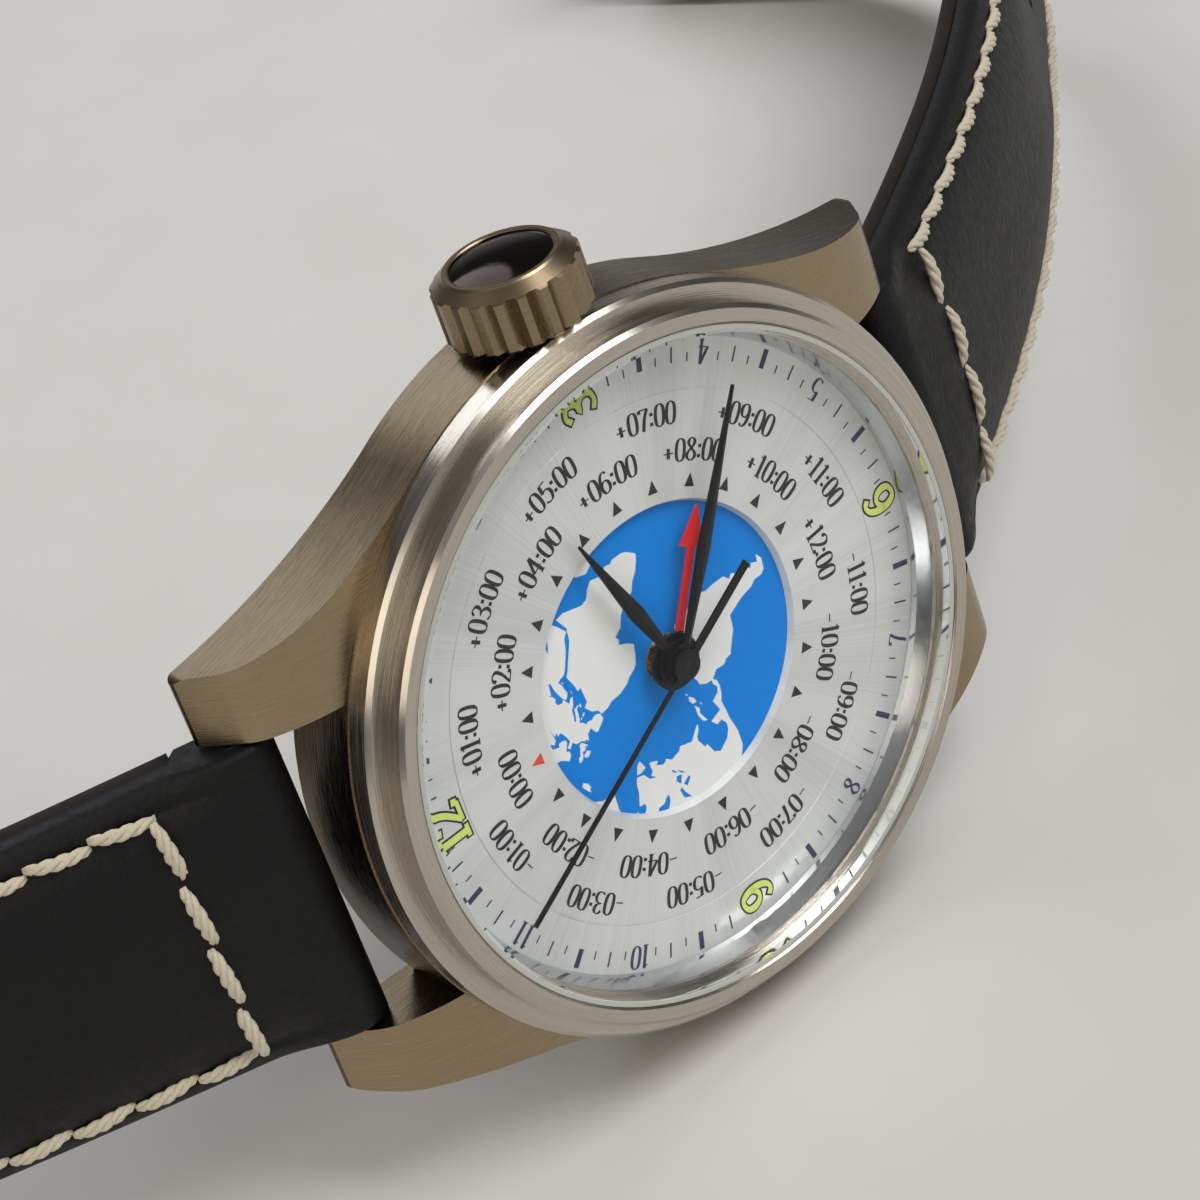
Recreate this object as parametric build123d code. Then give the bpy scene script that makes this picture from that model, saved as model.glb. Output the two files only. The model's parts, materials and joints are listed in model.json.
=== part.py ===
from build123d import *
import math
import os

# World time wristwatch. Every piece is modelled in the watch's own directions, with the centre of
# the dial's face at zero: +X to 3 o'clock, +Y to 12 o'clock and +Z out through the crystal.
# The finished watch is then turned to lie on its 9 o'clock side, crown up, leaning back on its strap.

# Fits shared by all pieces, radial
running_gap = 0.05
sliding_gap = 0.10
fit_gap = 0.03
free_gap = 0.30
glue_gap = 0.03
cut_over = 1.0
edge_break = 0.25
fine_break = 0.12

# Case and lugs, built up from the movement's radius
post_orbit = 11.45
post_rim = 1.35
movement_radius = post_orbit + post_rim
movement_ring_width = 6.60
case_bore_radius = movement_radius + movement_ring_width
case_wall = 2.55
case_radius = case_bore_radius + case_wall
case_top = -0.10
case_height = 5.50
case_edge_break = 0.45
lug_gap = 20.0
strap_loop_radius = 2.10
strap_case_clear = 0.35
bar_reach = case_radius + strap_case_clear + strap_loop_radius
lug_past_bar = 1.90
lug_reach = bar_reach + lug_past_bar
lug_tip_width = 4.40
lug_bottom_drop = 0.70
lug_flank_start = 10.5
lug_shoulder_start = 17.0
lug_knee_before_bar = 0.40
lug_knee_reach = bar_reach - lug_knee_before_bar
lug_knee_drop = 2.30
lug_knee_radius = 4.00
lug_toe_radius = 0.50
lug_corner_radius = 1.10

# Bezel in two steps
bezel_inset = 0.07
bezel_lower_radius = case_radius - bezel_inset
bezel_step_height = 1.70
bezel_step_width = 1.16
bezel_upper_radius = bezel_lower_radius - bezel_step_width
bezel_top = 3.05
bezel_skirt_depth = 1.20
bezel_skirt_wall = 0.36

# Crystal and its gasket
crystal_seat_gap = 0.15
crystal_radius = case_bore_radius - crystal_seat_gap
crystal_edge_thickness = 1.55
crystal_rise = 0.85
crystal_inner_rise = 0.75
crystal_ledge = 0.35
gasket_wall = 0.30
bezel_ledge_share = 0.6

# Inner flange, dial and map disc
flange_width = 0.85
flange_inner_radius = crystal_radius - flange_width
flange_slope = 0.50
flange_foot_slope = 0.08
flange_foot_share = 0.3
dial_thickness = 0.40
dial_border_width = 2.85
dial_step_radius = flange_inner_radius - dial_border_width
dial_step_width = 0.12
dial_step_depth = 0.05
map_hole_radius = 9.25
map_hole_bevel = 0.20
map_disc_radius = 10.20
map_disc_thickness = 0.25
map_centre_hole = 1.45

# Movement
movement_ring_wall_gap = 0.15
plate_rim_wall = 0.80
plate_skirt_wall = 0.28
motion_space = 0.90
plate_thickness = 1.30
train_space = 2.05
bridge_thickness = 0.45
post_radius = 0.70
bridge_post_angles = (40.0, 118.0, 150.0, 190.0, 285.0, 330.0)
cock_post_angles = (208.0, 262.0)
screw_head_radius = 0.62
screw_head_height = 0.22
screw_shank_radius = 0.34
screw_slot_width = 0.16
screw_slot_depth = 0.10
arbor_radius = 0.15
pivot_radius = 0.08
pivot_share = 0.7
jewel_radius = 0.50
jewel_thickness = 0.30
cock_boss_radius = 1.10
cock_foot_radius = 0.91
cock_opening_share = 0.3
bridge_screw_length = 1.0

# Going train: teeth are counts, places are angles from 3 o'clock about the dial's centre
barrel_teeth = 78
centre_leaves = 12
centre_teeth = 80
third_leaves = 10
third_teeth = 75
fourth_leaves = 10
fourth_teeth = 96
escape_leaves = 8
escape_teeth = 20
barrel_distance = 6.525
barrel_angle = 80.0
third_distance = 4.70
third_angle = -45.0
escape_distance = 4.70
escape_angle = 200.0
balance_distance = 8.60
balance_angle = 235.0
balance_radius = 3.80
balance_rim_wall = 0.42
balance_rim_height = 0.32
balance_arm_half_width = 0.21
balance_arm_angle = 20.0
hairspring_turns = 9
hairspring_steps = 30
hairspring_inner = 0.30
hairspring_outer = 2.20
hairspring_strip = 0.05
escape_radius = 2.10
escape_tooth_shares = ((0.82, 0.0), (1.0, 0.42), (0.985, 0.55), (0.82, 0.62))
escape_rim_share = 0.68
escape_arms = 4
fork_place_share = 0.52
fork_gap = 0.30
fork_width = 0.24
pallet_spread = 32.0
roller_radius = 0.62
roller_reach_share = 1.5
wheel_thickness = 0.12
pinion_height = 0.34
barrel_height = 0.85
barrel_wall = 0.50
winding_arbor_radius = 0.30
barrel_screw_radius = 0.87
wheel_arms = 5
wheel_arm_width = 0.30
wheel_boss_radius = 0.60
wheel_rim_modules = 5
tooth_height_share = 0.90
tooth_root_share = 1.15
tooth_tip_width_share = 0.16
tooth_base_width_share = 0.60

# Motion work under the dial
cannon_teeth = 12
minute_wheel_teeth = 36
minute_leaves = 10
hour_teeth = 40
transfer_teeth = 40
transfer_leaves = 24
gmt_teeth = 48
minute_wheel_distance = 2.60
minute_wheel_angle = 60.0
transfer_angle = 180.0
tube_wall = 0.22
seconds_arbor_radius = 0.20
motion_step = 0.22
motion_post_radius = 0.21

# Keyless work
stem_depth = 2.00
stem_radius = 0.60
stem_pilot_radius = 0.30
stem_inner = 7.30
winding_teeth = 16
winding_radius = 1.15
winding_start = 7.80
winding_length = 1.30
sliding_length = 1.70
pinion_bore_gap = 0.05
crown_wheel_place = 6.60
crown_wheel_teeth = 28
crown_face_radius = 2.00
crown_face_width = 0.50
crown_face_tooth = 0.18
crown_face_gap_share = 0.6
ratchet_teeth = 62
crown_upper_teeth = 42
ratchet_thickness = 0.18

# Automatic work
auto_bridge_thickness = 0.15
auto_bridge_width = 3.0
auto_foot_inset = 1.55
auto_foot_orbit = post_orbit - auto_foot_inset
auto_foot_angles = (165.0, 300.0)
rotor_pin_radius = 0.90
rotor_clear = 0.45
rotor_radius = movement_radius - rotor_clear
rotor_plate_thickness = 0.22
rotor_hub_radius = 2.60
rotor_weight_width = 2.00
rotor_weight_height = 0.40
rotor_window_radius = 1.55
rotor_window_angles = (110.0, 145.0, 180.0, 215.0, 250.0)
rotor_cap_radius = 1.35

# Case back
back_flange_inset = 1.35
back_flange_radius = case_radius - back_flange_inset
back_spigot_depth = 0.65
back_ring_width = 5.10
back_window_radius = back_flange_radius - back_ring_width
back_ledge = 0.60
back_ledge_height = 0.30
back_glass_thickness = 0.90
back_gasket_width = 0.60
back_gasket_height = 0.32
back_notch_count = 6
back_notch_width = 2.60
back_notch_depth = 0.60
clamp_angles = (30.0, 150.0, 270.0)
clamp_width = 3.2
clamp_reach = 3.0
clamp_thickness = 0.20
clamp_screw_share = 0.6
back_rim_height = 0.75
back_cone_width = 3.0

# Crown and tube
crown_clear = 0.35
crown_base = case_radius + crown_clear
crown_radius = 4.25
crown_flute_length = 2.95
crown_flutes = 20
crown_flute_depth = 0.42
crown_chamfer_length = 0.60
crown_cap_radius = 3.45
crown_dome_radius = 3.05
crown_dome_rise = 0.35
crown_ring_height = 0.12
crown_cavity_depth = 2.30
crown_pull = 1.20
tube_radius = 1.70
tube_bore_radius = 0.85
tube_end_cover = 0.20
tube_inner_end = case_bore_radius + tube_end_cover
tube_outer_reach = 1.90
crown_gasket_height = 0.50
crown_gasket_wall = 0.35
crown_gasket_offset = 0.55

# Hands: lengths from the centre, angles clockwise from 12 o'clock
hour_hand_length = 10.7
hour_hand_half_width = 0.50
hour_hand_angle = 71.0
minute_hand_clear = 2.50
minute_hand_length = flange_inner_radius - minute_hand_clear
minute_hand_half_width = 0.44
minute_hand_angle = 125.5
seconds_hand_clear = 1.50
seconds_hand_length = flange_inner_radius - seconds_hand_clear
seconds_hand_tail = 6.8
seconds_hand_half_width = 0.13
seconds_tail_half_width = 0.24
seconds_hand_angle = 332.5
gmt_hand_length = 9.0
gmt_hand_half_width = 0.26
gmt_arrow_length = 2.40
gmt_arrow_half_width = 0.85
gmt_hand_angle = 122.5
hand_thickness = 0.16
hand_ridge = 0.10
hand_gap = 0.13
hub_thickness = 0.20
hand_waist_share = 0.42
hand_neck_share = 0.45
hand_tip_half_width = 0.07
gmt_clear_of_dial = 0.28
hand_root_share = 0.8
hand_tip_ridge_share = 0.25

# Spring bars
bar_depth = 4.60
bar_radius = 0.90
bar_tip_radius = 0.40
bar_tip_length = 0.95
bar_tip_inside = 1.00
bar_end_clear = 0.15
bar_tip_travel = 0.90

# Strap halves: slope at the spring bar, then arc length and turn of each stretch
strap_12_path = (22.0, ((28.0, 4.0), (20.0, 66.0), (25.0, 0.0)))
strap_6_path = (30.0, ((20.0, 4.0), (20.0, 7.0), (28.0, 4.0), (30.0, 72.0), (18.0, 6.0)))
strap_width = 19.6
strap_end_width = 18.0
strap_inner_pad = 1.90
strap_outer_pad = 2.45
strap_inner_thin = 1.15
strap_outer_thin = 1.35
strap_pad_length = 36.0
strap_thin_length = 60.0
strap_edge_height = 2.60
strap_edge_slope = 3.60
strap_edge_drop_thin = 0.35
strap_edge_slope_thin = 0.80
lining_thickness = 1.00
lining_start = 3.40
strap_station_step = 3.0
strap_shoulder_rise_share = 0.82
strap_shoulder_width_share = 1.8
strap_tip_length = 9.0
strap_tip_width_share = 0.36
strap_tip_shares = (0.45, 0.22, 0.07)
strap_end_share = 0.6
strap_hole_radius = 1.05
strap_hole_first = 20.0
strap_hole_pitch = 6.5
strap_hole_count = 7

# Pin buckle and keepers
buckle_bar_radius = 0.85
buckle_pin_radius = 0.51
buckle_loop_radius = 1.65
buckle_length = 12.6
buckle_arm_width = 2.4
buckle_cross_width = 3.0
buckle_thickness = 2.2
buckle_heel = 1.7
buckle_side_gap = 0.45
buckle_corner_radius = 2.2
tongue_width = 2.2
tongue_thickness = 1.1
tongue_sink_share = 0.4
tongue_root_share = 0.5
tongue_bend_share = 0.3
tongue_end_share = 0.6
tongue_overhang = 0.6
tongue_slot_half_width = 1.55
tongue_slot_length = 3.2
keeper_length = 4.6
keeper_wall = 1.0
keeper_round = 0.8
keeper_gap = 0.35
fixed_keeper_place = 66.0
sliding_keeper_place = 56.0
sliding_keeper_travel = 5.0

# Rest: the angle by which the dial leans back, with the crown up
rest_lean = 9.4

# Levels worked out from the sizes above, measured out of the dial's face
case_bottom = case_top - case_height
lug_bottom = case_bottom - lug_bottom_drop
bezel_step = case_top + bezel_step_height
skirt_inside = case_bore_radius - bezel_skirt_wall - fit_gap * 2
crystal_seat = bezel_top - crystal_edge_thickness
crystal_hole_radius = crystal_radius + gasket_wall + fit_gap * 2
ledge_under = crystal_seat - bezel_skirt_wall * bezel_ledge_share
dial_bottom = -dial_thickness
map_top = dial_bottom - glue_gap
map_bottom = map_top - map_disc_thickness
plate_rim_top = map_bottom - glue_gap
plate_top = plate_rim_top - motion_space
plate_bottom = plate_top - plate_thickness
bridge_under = plate_bottom - train_space
bridge_back = bridge_under - bridge_thickness
ratchet_top = bridge_back - fit_gap
ratchet_back = ratchet_top - ratchet_thickness
auto_top = ratchet_back - sliding_gap
auto_back = auto_top - auto_bridge_thickness
rotor_top = auto_back - sliding_gap
rotor_back = rotor_top - rotor_plate_thickness
weight_back = rotor_back - rotor_weight_height
back_glass_top = weight_back - sliding_gap
back_glass_bottom = back_glass_top - back_glass_thickness
back_face = back_glass_bottom - back_ledge_height
back_spigot_top = case_bottom + back_spigot_depth
ring_bottom = back_spigot_top + sliding_gap

# Levels of the wheels, from the main plate's back towards the case back
barrel_top = plate_bottom - sliding_gap
barrel_back = barrel_top - barrel_height
centre_wheel_top = barrel_back - sliding_gap
centre_wheel_back = centre_wheel_top - wheel_thickness
third_wheel_top = centre_wheel_back - sliding_gap - fit_gap
third_wheel_back = third_wheel_top - wheel_thickness
fourth_wheel_top = third_wheel_back - sliding_gap - fit_gap
fourth_wheel_back = fourth_wheel_top - wheel_thickness
escape_wheel_top = plate_bottom - sliding_gap * 2
balance_top = fourth_wheel_top + wheel_thickness
balance_back = balance_top - balance_rim_height

# Levels of the motion work, from under the map disc towards the main plate
gmt_wheel_top = plate_rim_top - sliding_gap
gmt_wheel_back = gmt_wheel_top - wheel_thickness
hour_wheel_top = gmt_wheel_top - motion_step
hour_wheel_back = hour_wheel_top - wheel_thickness
minute_wheel_top = hour_wheel_top - motion_step
minute_wheel_back = minute_wheel_top - wheel_thickness

# Levels and tubes of the hands, from the dial out
gmt_hand_z = gmt_clear_of_dial
hour_hand_z = gmt_hand_z + hub_thickness + hand_gap
minute_hand_z = hour_hand_z + hub_thickness + hand_gap
seconds_hand_z = minute_hand_z + hub_thickness + hand_gap
cannon_bore = seconds_arbor_radius + running_gap
cannon_radius = cannon_bore + tube_wall
hour_bore = cannon_radius + running_gap
hour_tube_radius = hour_bore + tube_wall
gmt_bore = hour_tube_radius + running_gap
gmt_tube_radius = gmt_bore + tube_wall
seconds_hub_radius = cannon_radius + tube_wall * 2
minute_hub_radius = seconds_hub_radius + tube_wall
hour_hub_radius = hour_tube_radius + tube_wall * 3
gmt_hub_radius = gmt_tube_radius + tube_wall * 3

# Sizes and places worked out for screws, the stem, the spring bars and the buckle
screw_hole_radius = screw_shank_radius + fit_gap
clamp_screw_orbit = movement_radius + clamp_reach * clamp_screw_share
stem_pilot_length = crown_pull + free_gap
sliding_start = winding_start + winding_length + sliding_gap
crown_face_top = -stem_depth - winding_radius + crown_face_tooth / 2
crown_face_back = crown_face_top - crown_face_tooth * 2
crown_cap_start = crown_base + crown_flute_length
crown_cap_end = crown_cap_start + crown_chamfer_length
crown_cavity_radius = tube_radius + running_gap
crown_cavity_end = crown_base + crown_cavity_depth
bar_half_length = lug_gap / 2 - bar_end_clear
bar_tip_end = lug_gap / 2 + bar_tip_length - bar_end_clear
buckle_inner_half = strap_end_width / 2 + buckle_side_gap
buckle_outer_half = buckle_inner_half + buckle_arm_width
buckle_inner_end = buckle_length - buckle_cross_width



# Places of the wheels in the dial's plane
def polar(distance, angle):
    return (distance * math.cos(math.radians(angle)), distance * math.sin(math.radians(angle)))


centre_place = (0.0, 0.0)
barrel_place = polar(barrel_distance, barrel_angle)
third_place = polar(third_distance, third_angle)
escape_place = polar(escape_distance, escape_angle)
balance_place = polar(balance_distance, balance_angle)
minute_wheel_place = polar(minute_wheel_distance, minute_wheel_angle)
crown_wheel_centre = (crown_wheel_place, 0.0)


def distance_between(first, second):
    return math.dist(first, second)


def bearing(first, second):
    return math.degrees(math.atan2(second[1] - first[1], second[0] - first[0]))


fork_place = tuple(
    first + (second - first) * fork_place_share for first, second in zip(escape_place, balance_place)
)

# Modules of the meshed pairs, from their centre distances
barrel_module = barrel_distance * 2 / (barrel_teeth + centre_leaves)
centre_module = third_distance * 2 / (centre_teeth + third_leaves)
third_module = third_distance * 2 / (third_teeth + fourth_leaves)
fourth_module = escape_distance * 2 / (fourth_teeth + escape_leaves)
cannon_module = minute_wheel_distance * 2 / (cannon_teeth + minute_wheel_teeth)
hour_module = minute_wheel_distance * 2 / (minute_leaves + hour_teeth)
transfer_distance = hour_module * (hour_teeth + transfer_teeth) / 2
gmt_module = transfer_distance * 2 / (transfer_leaves + gmt_teeth)
transfer_place = polar(transfer_distance, transfer_angle)
ratchet_distance = distance_between(barrel_place, crown_wheel_centre)
ratchet_module = ratchet_distance * 2 / (ratchet_teeth + crown_upper_teeth)


# Plain solids
def disc(radius, low, high, place=centre_place):
    body = Cylinder(radius, high - low, align=(Align.CENTER, Align.CENTER, Align.MIN))
    return Pos(place[0], place[1], low) * body


def ring(outer, inner, low, high, place=centre_place):
    return disc(outer, low, high, place) - disc(inner, low - cut_over, high + cut_over, place)


def turned(points):
    return revolve(make_face(Plane.XZ * Polyline(*points, close=True)), Axis.Z, 360)


def block(x_range, y_range, z_range):
    size = [span[1] - span[0] for span in (x_range, y_range, z_range)]
    body = Box(*size, align=(Align.MIN, Align.MIN, Align.MIN))
    return Pos(x_range[0], y_range[0], z_range[0]) * body


def stem_rod(radius, start, end, z=-stem_depth):
    body = Cylinder(radius, end - start, align=(Align.CENTER, Align.CENTER, Align.MIN))
    return Pos(start, 0, z) * Rot(0, 90, 0) * body


# Toothed wheels. A wheel has a tooth on its first angle and a pinion has a gap there.
def gear(teeth, module, low, high, place, first_angle, gap_first=False):
    pitch_radius = teeth * module / 2
    tip_radius = pitch_radius + module * tooth_height_share
    root_radius = pitch_radius - module * tooth_root_share
    pitch_angle = math.tau / teeth
    start = math.radians(first_angle) + (pitch_angle / 2 if gap_first else 0.0)
    points = []
    for tooth in range(teeth):
        middle = start + tooth * pitch_angle
        for radius, share in (
            (root_radius, -tooth_base_width_share),
            (tip_radius, -tooth_tip_width_share),
            (tip_radius, tooth_tip_width_share),
            (root_radius, tooth_base_width_share),
        ):
            angle = middle + pitch_angle * share / 2
            points.append((radius * math.cos(angle), radius * math.sin(angle)))
    face = make_face(Polyline(*points, close=True))
    return Pos(place[0], place[1], low) * extrude(face, high - low)


def crossings(inner, outer, arms, arm_width, low, high, place):
    window = ring(outer, inner, low - cut_over, high + cut_over, place)
    for arm in range(arms):
        bar = block((0, outer * 2), (-arm_width / 2, arm_width / 2), (low - cut_over, high + cut_over))
        window -= Pos(place[0], place[1], 0) * Rot(0, 0, 360 * arm / arms) * bar
    return window


def arbor(place, low, high, low_pivot, high_pivot, radius=arbor_radius):
    body = disc(radius, low, high, place)
    body += disc(pivot_radius, low - low_pivot, low, place)
    return body + disc(pivot_radius, high, high + high_pivot, place)


# Case middle with four lugs
def lug_plan():
    half_gap = lug_gap / 2
    tip_outer = half_gap + lug_tip_width
    flank_x = math.sqrt(case_radius**2 - lug_flank_start**2)
    start = (flank_x, lug_flank_start)
    tangent = (-lug_flank_start, flank_x)
    shoulder = (tip_outer, lug_reach - lug_corner_radius)
    flank = TangentArc(start, shoulder, tangent=tangent)
    corner = TangentArc(
        shoulder, (tip_outer - lug_corner_radius, lug_reach), tangent=flank % 1
    )
    outline = Wire(
        [
            flank,
            corner,
            Line((tip_outer - lug_corner_radius, lug_reach), (half_gap, lug_reach)),
            Line((half_gap, lug_reach), (half_gap, lug_flank_start)),
            Line((half_gap, lug_flank_start), start),
        ]
    )
    return make_face(outline)


def lug_side_profile():
    knee = (lug_knee_reach, case_top - lug_knee_drop)
    shoulder = (lug_shoulder_start, case_top)
    over = case_radius + cut_over
    crown_arc = TangentArc(shoulder, knee, tangent=(1, 0))
    toe = (lug_reach, lug_bottom)
    heel_height = case_bottom + case_edge_break
    heel = (lug_flank_start, heel_height)
    half = Wire(
        [
            Line((0, case_top), shoulder),
            crown_arc,
            Line(knee, toe),
            Line(toe, heel),
            Line(heel, (0, heel_height)),
            Line((0, heel_height), (0, case_top)),
        ]
    )
    face = make_face(Plane.YZ * half)
    wide = extrude(face, over, both=True)
    across = wide.edges().filter_by(Axis.X)
    knee_edge = across.sort_by_distance((0,) + knee)[0]
    wide = fillet(knee_edge, lug_knee_radius)
    toe_edge = wide.edges().filter_by(Axis.X).sort_by_distance((0,) + toe)[0]
    return fillet(toe_edge, lug_toe_radius)


def case_middle():
    tall = case_height + lug_bottom_drop + cut_over
    quarter = Pos(0, 0, lug_bottom - cut_over) * extrude(lug_plan(), tall + cut_over)
    lugs = quarter + mirror(quarter, about=Plane.YZ)
    lugs += mirror(lugs, about=Plane.XZ)
    profile = lug_side_profile()
    lugs = lugs & (profile + mirror(profile, about=Plane.XZ))
    drum = disc(case_radius, case_bottom, case_top)
    drum = chamfer(drum.edges().group_by(Axis.Z)[0], case_edge_break)
    case = drum + lugs
    case -= disc(case_bore_radius, lug_bottom - cut_over, case_top + cut_over)
    tube_hole = stem_rod(tube_radius, case_bore_radius - cut_over, case_radius + cut_over)
    case -= tube_hole
    for side in (1, -1):
        case -= Pos(0, side * bar_reach, -bar_depth) * Rot(0, 90, 0) * Cylinder(
            bar_tip_radius + running_gap, (bar_tip_end + sliding_gap) * 2
        )
    return case


# Bezel, crystal and what they hold
def bezel():
    skirt_radius = case_bore_radius - fit_gap
    inner = skirt_radius - bezel_skirt_wall
    ledge_radius = crystal_radius - crystal_ledge
    body = turned(
        [
            (inner, case_top - bezel_skirt_depth),
            (skirt_radius, case_top - bezel_skirt_depth),
            (skirt_radius, case_top),
            (bezel_lower_radius, case_top),
            (bezel_lower_radius, bezel_step - edge_break),
            (bezel_lower_radius - edge_break, bezel_step),
            (bezel_upper_radius, bezel_step),
            (bezel_upper_radius, bezel_top - edge_break),
            (bezel_upper_radius - edge_break, bezel_top),
            (crystal_hole_radius + fine_break, bezel_top),
            (crystal_hole_radius, bezel_top - fine_break),
            (crystal_hole_radius, crystal_seat),
            (ledge_radius, crystal_seat),
            (ledge_radius, ledge_under),
            (inner, ledge_under),
        ]
    )
    return body


def spherical_cap(radius, base, rise):
    sphere_radius = (radius**2 + rise**2) / (2 * rise)
    sphere = Pos(0, 0, base + rise - sphere_radius) * Sphere(sphere_radius)
    return sphere & disc(radius, base, base + rise + cut_over)


def crystal():
    body = disc(crystal_radius, crystal_seat, bezel_top)
    body += spherical_cap(crystal_radius - fine_break, bezel_top, crystal_rise)
    hollow_radius = crystal_radius - crystal_ledge
    return body - spherical_cap(hollow_radius, crystal_seat, crystal_inner_rise)


def crystal_gasket():
    inner = crystal_radius + fit_gap
    return ring(inner + gasket_wall, inner, crystal_seat + fit_gap, bezel_top - fine_break)


def flange_ring():
    top = ledge_under - fit_gap
    return turned(
        [
            (flange_inner_radius, fit_gap),
            (skirt_inside, fit_gap),
            (skirt_inside, top),
            (flange_inner_radius + flange_slope, top),
            (flange_inner_radius + flange_foot_slope, fit_gap + top * flange_foot_share),
        ]
    )


def dial_plate():
    outer = skirt_inside
    face = turned(
        [
            (map_hole_radius, 0),
            (outer, 0),
            (outer, dial_bottom),
            (map_hole_radius - map_hole_bevel, dial_bottom),
        ]
    )
    outer_step = dial_step_radius + dial_step_width / 2
    inner_step = dial_step_radius - dial_step_width / 2
    return face - ring(outer_step, inner_step, -dial_step_depth, cut_over)


def map_disc():
    return ring(map_disc_radius, map_centre_hole, map_bottom, map_top)


# Movement holder with its clamps
def movement_ring():
    outer = case_bore_radius - movement_ring_wall_gap
    inner = movement_radius + fit_gap
    dial_seat = dial_bottom - glue_gap
    skirt_end = case_top - bezel_skirt_depth - fit_gap
    body = turned(
        [
            (inner, dial_seat),
            (skirt_inside, dial_seat),
            (skirt_inside, skirt_end),
            (outer, skirt_end),
            (outer, ring_bottom),
            (inner, ring_bottom),
        ]
    )
    body -= stem_rod(stem_radius + free_gap, movement_radius - cut_over, case_bore_radius + cut_over)
    for angle in clamp_angles:
        place = polar(clamp_screw_orbit, angle)
        body -= disc(screw_hole_radius, ring_bottom - cut_over, ring_bottom + clamp_reach, place)
    return body


def casing_clamps():
    clamps = []
    for angle in clamp_angles:
        plate = block(
            (movement_radius - plate_skirt_wall, movement_radius + clamp_reach),
            (-clamp_width / 2, clamp_width / 2),
            (ring_bottom - clamp_thickness - fit_gap, ring_bottom - fit_gap),
        )
        place = (clamp_screw_orbit, 0)
        plate -= disc(screw_hole_radius, ring_bottom - cut_over, ring_bottom + cut_over, place)
        clamps.append(Rot(0, 0, angle) * plate)
    return Compound(clamps)


def screw(place, head_top, length, angle):
    head_back = head_top - screw_head_height
    body = disc(screw_head_radius, head_back, head_top)
    body += disc(screw_shank_radius, head_top, head_top + length)
    slot = block(
        (-screw_head_radius * 2, screw_head_radius * 2),
        (-screw_slot_width / 2, screw_slot_width / 2),
        (head_back - cut_over, head_back + screw_slot_depth),
    )
    return Pos(place[0], place[1], 0) * Rot(0, 0, angle) * (body - slot)


# Case back with its window
def case_back_ring():
    spigot = case_bore_radius - running_gap
    spigot_inner = spigot - bezel_skirt_wall * 2
    seat_z = case_bottom - fit_gap
    body = turned(
        [
            (spigot_inner, back_spigot_top),
            (spigot, back_spigot_top),
            (spigot, seat_z),
            (back_flange_radius, seat_z),
            (back_flange_radius, seat_z - back_rim_height),
            (back_window_radius + back_cone_width, back_face),
            (back_window_radius - back_ledge, back_face),
            (back_window_radius - back_ledge, back_glass_bottom),
            (back_window_radius + fit_gap, back_glass_bottom),
            (back_window_radius + fit_gap, back_glass_top + edge_break * 2),
            (spigot_inner, back_glass_top + edge_break * 2),
        ]
    )
    body -= gasket_band(fit_gap, cut_over)
    for notch in range(back_notch_count):
        cut = block(
            (back_flange_radius - back_notch_depth * 2, back_flange_radius + cut_over),
            (-back_notch_width / 2, back_notch_width / 2),
            (back_face - cut_over, seat_z - edge_break),
        )
        body -= Rot(0, 0, 360 * (notch * 2 + 1) / (back_notch_count * 2)) * cut
    return body


def gasket_band(grow, rise):
    middle = (back_flange_radius + case_bore_radius) / 2
    seat_z = case_bottom - fit_gap
    half = back_gasket_width / 2 + grow
    return ring(middle + half, middle - half, seat_z - back_gasket_height - grow, seat_z + rise)


def case_back_gasket():
    return gasket_band(0, 0)


def case_back_glass():
    return disc(back_window_radius, back_glass_bottom, back_glass_top)


# Crown, tube, stem and winding work
def crown_tube():
    end = case_radius + tube_outer_reach
    body = stem_rod(tube_radius, tube_inner_end, end)
    return body - stem_rod(tube_bore_radius, tube_inner_end - cut_over, end + cut_over)


def crown():
    body = Rot(0, 90, 0) * turned(
        [
            (0, crown_base),
            (crown_radius - fine_break, crown_base),
            (crown_radius, crown_base + fine_break),
            (crown_radius, crown_cap_start),
            (crown_cap_radius, crown_cap_end),
            (crown_cap_radius - crown_ring_height, crown_cap_end + crown_ring_height),
            (crown_dome_radius, crown_cap_end + crown_ring_height),
            (crown_dome_radius - crown_ring_height, crown_cap_end),
            (0, crown_cap_end),
        ]
    )
    dome = spherical_cap(crown_dome_radius - crown_ring_height, 0, crown_dome_rise)
    body += Pos(crown_cap_end, 0, 0) * Rot(0, 90, 0) * dome
    for flute in range(crown_flutes):
        pitch = math.tau / crown_flutes
        half = crown_radius * math.sin(pitch / 2)
        notch = make_face(
            Plane.YZ
            * Polyline(
                (-half, crown_radius + crown_flute_depth / 2),
                (half, crown_radius + crown_flute_depth / 2),
                (0, crown_radius - crown_flute_depth),
                close=True,
            )
        )
        run = crown_flute_length + cut_over + crown_ring_height
        cut = Pos(crown_base - cut_over, 0, 0) * extrude(notch, run, dir=(1, 0, 0))
        body -= Rot(math.degrees(pitch) * flute, 0, 0) * cut
    body = Pos(0, 0, -stem_depth) * body
    body -= stem_rod(crown_cavity_radius, crown_base - cut_over, crown_cavity_end)
    start = crown_base + crown_gasket_offset
    groove_radius = crown_cavity_radius + crown_gasket_wall
    return body - stem_rod(groove_radius, start - fit_gap, start + crown_gasket_height + fit_gap)


def crown_gasket():
    start = crown_base + crown_gasket_offset
    end = start + crown_gasket_height
    outer = crown_cavity_radius + crown_gasket_wall - fit_gap
    return stem_rod(outer, start, end) - stem_rod(tube_radius + fit_gap, start - cut_over, end + cut_over)


def winding_stem():
    body = stem_rod(stem_radius, stem_inner, crown_cavity_end)
    return body + stem_rod(stem_pilot_radius, stem_inner - stem_pilot_length, stem_inner)


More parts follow.
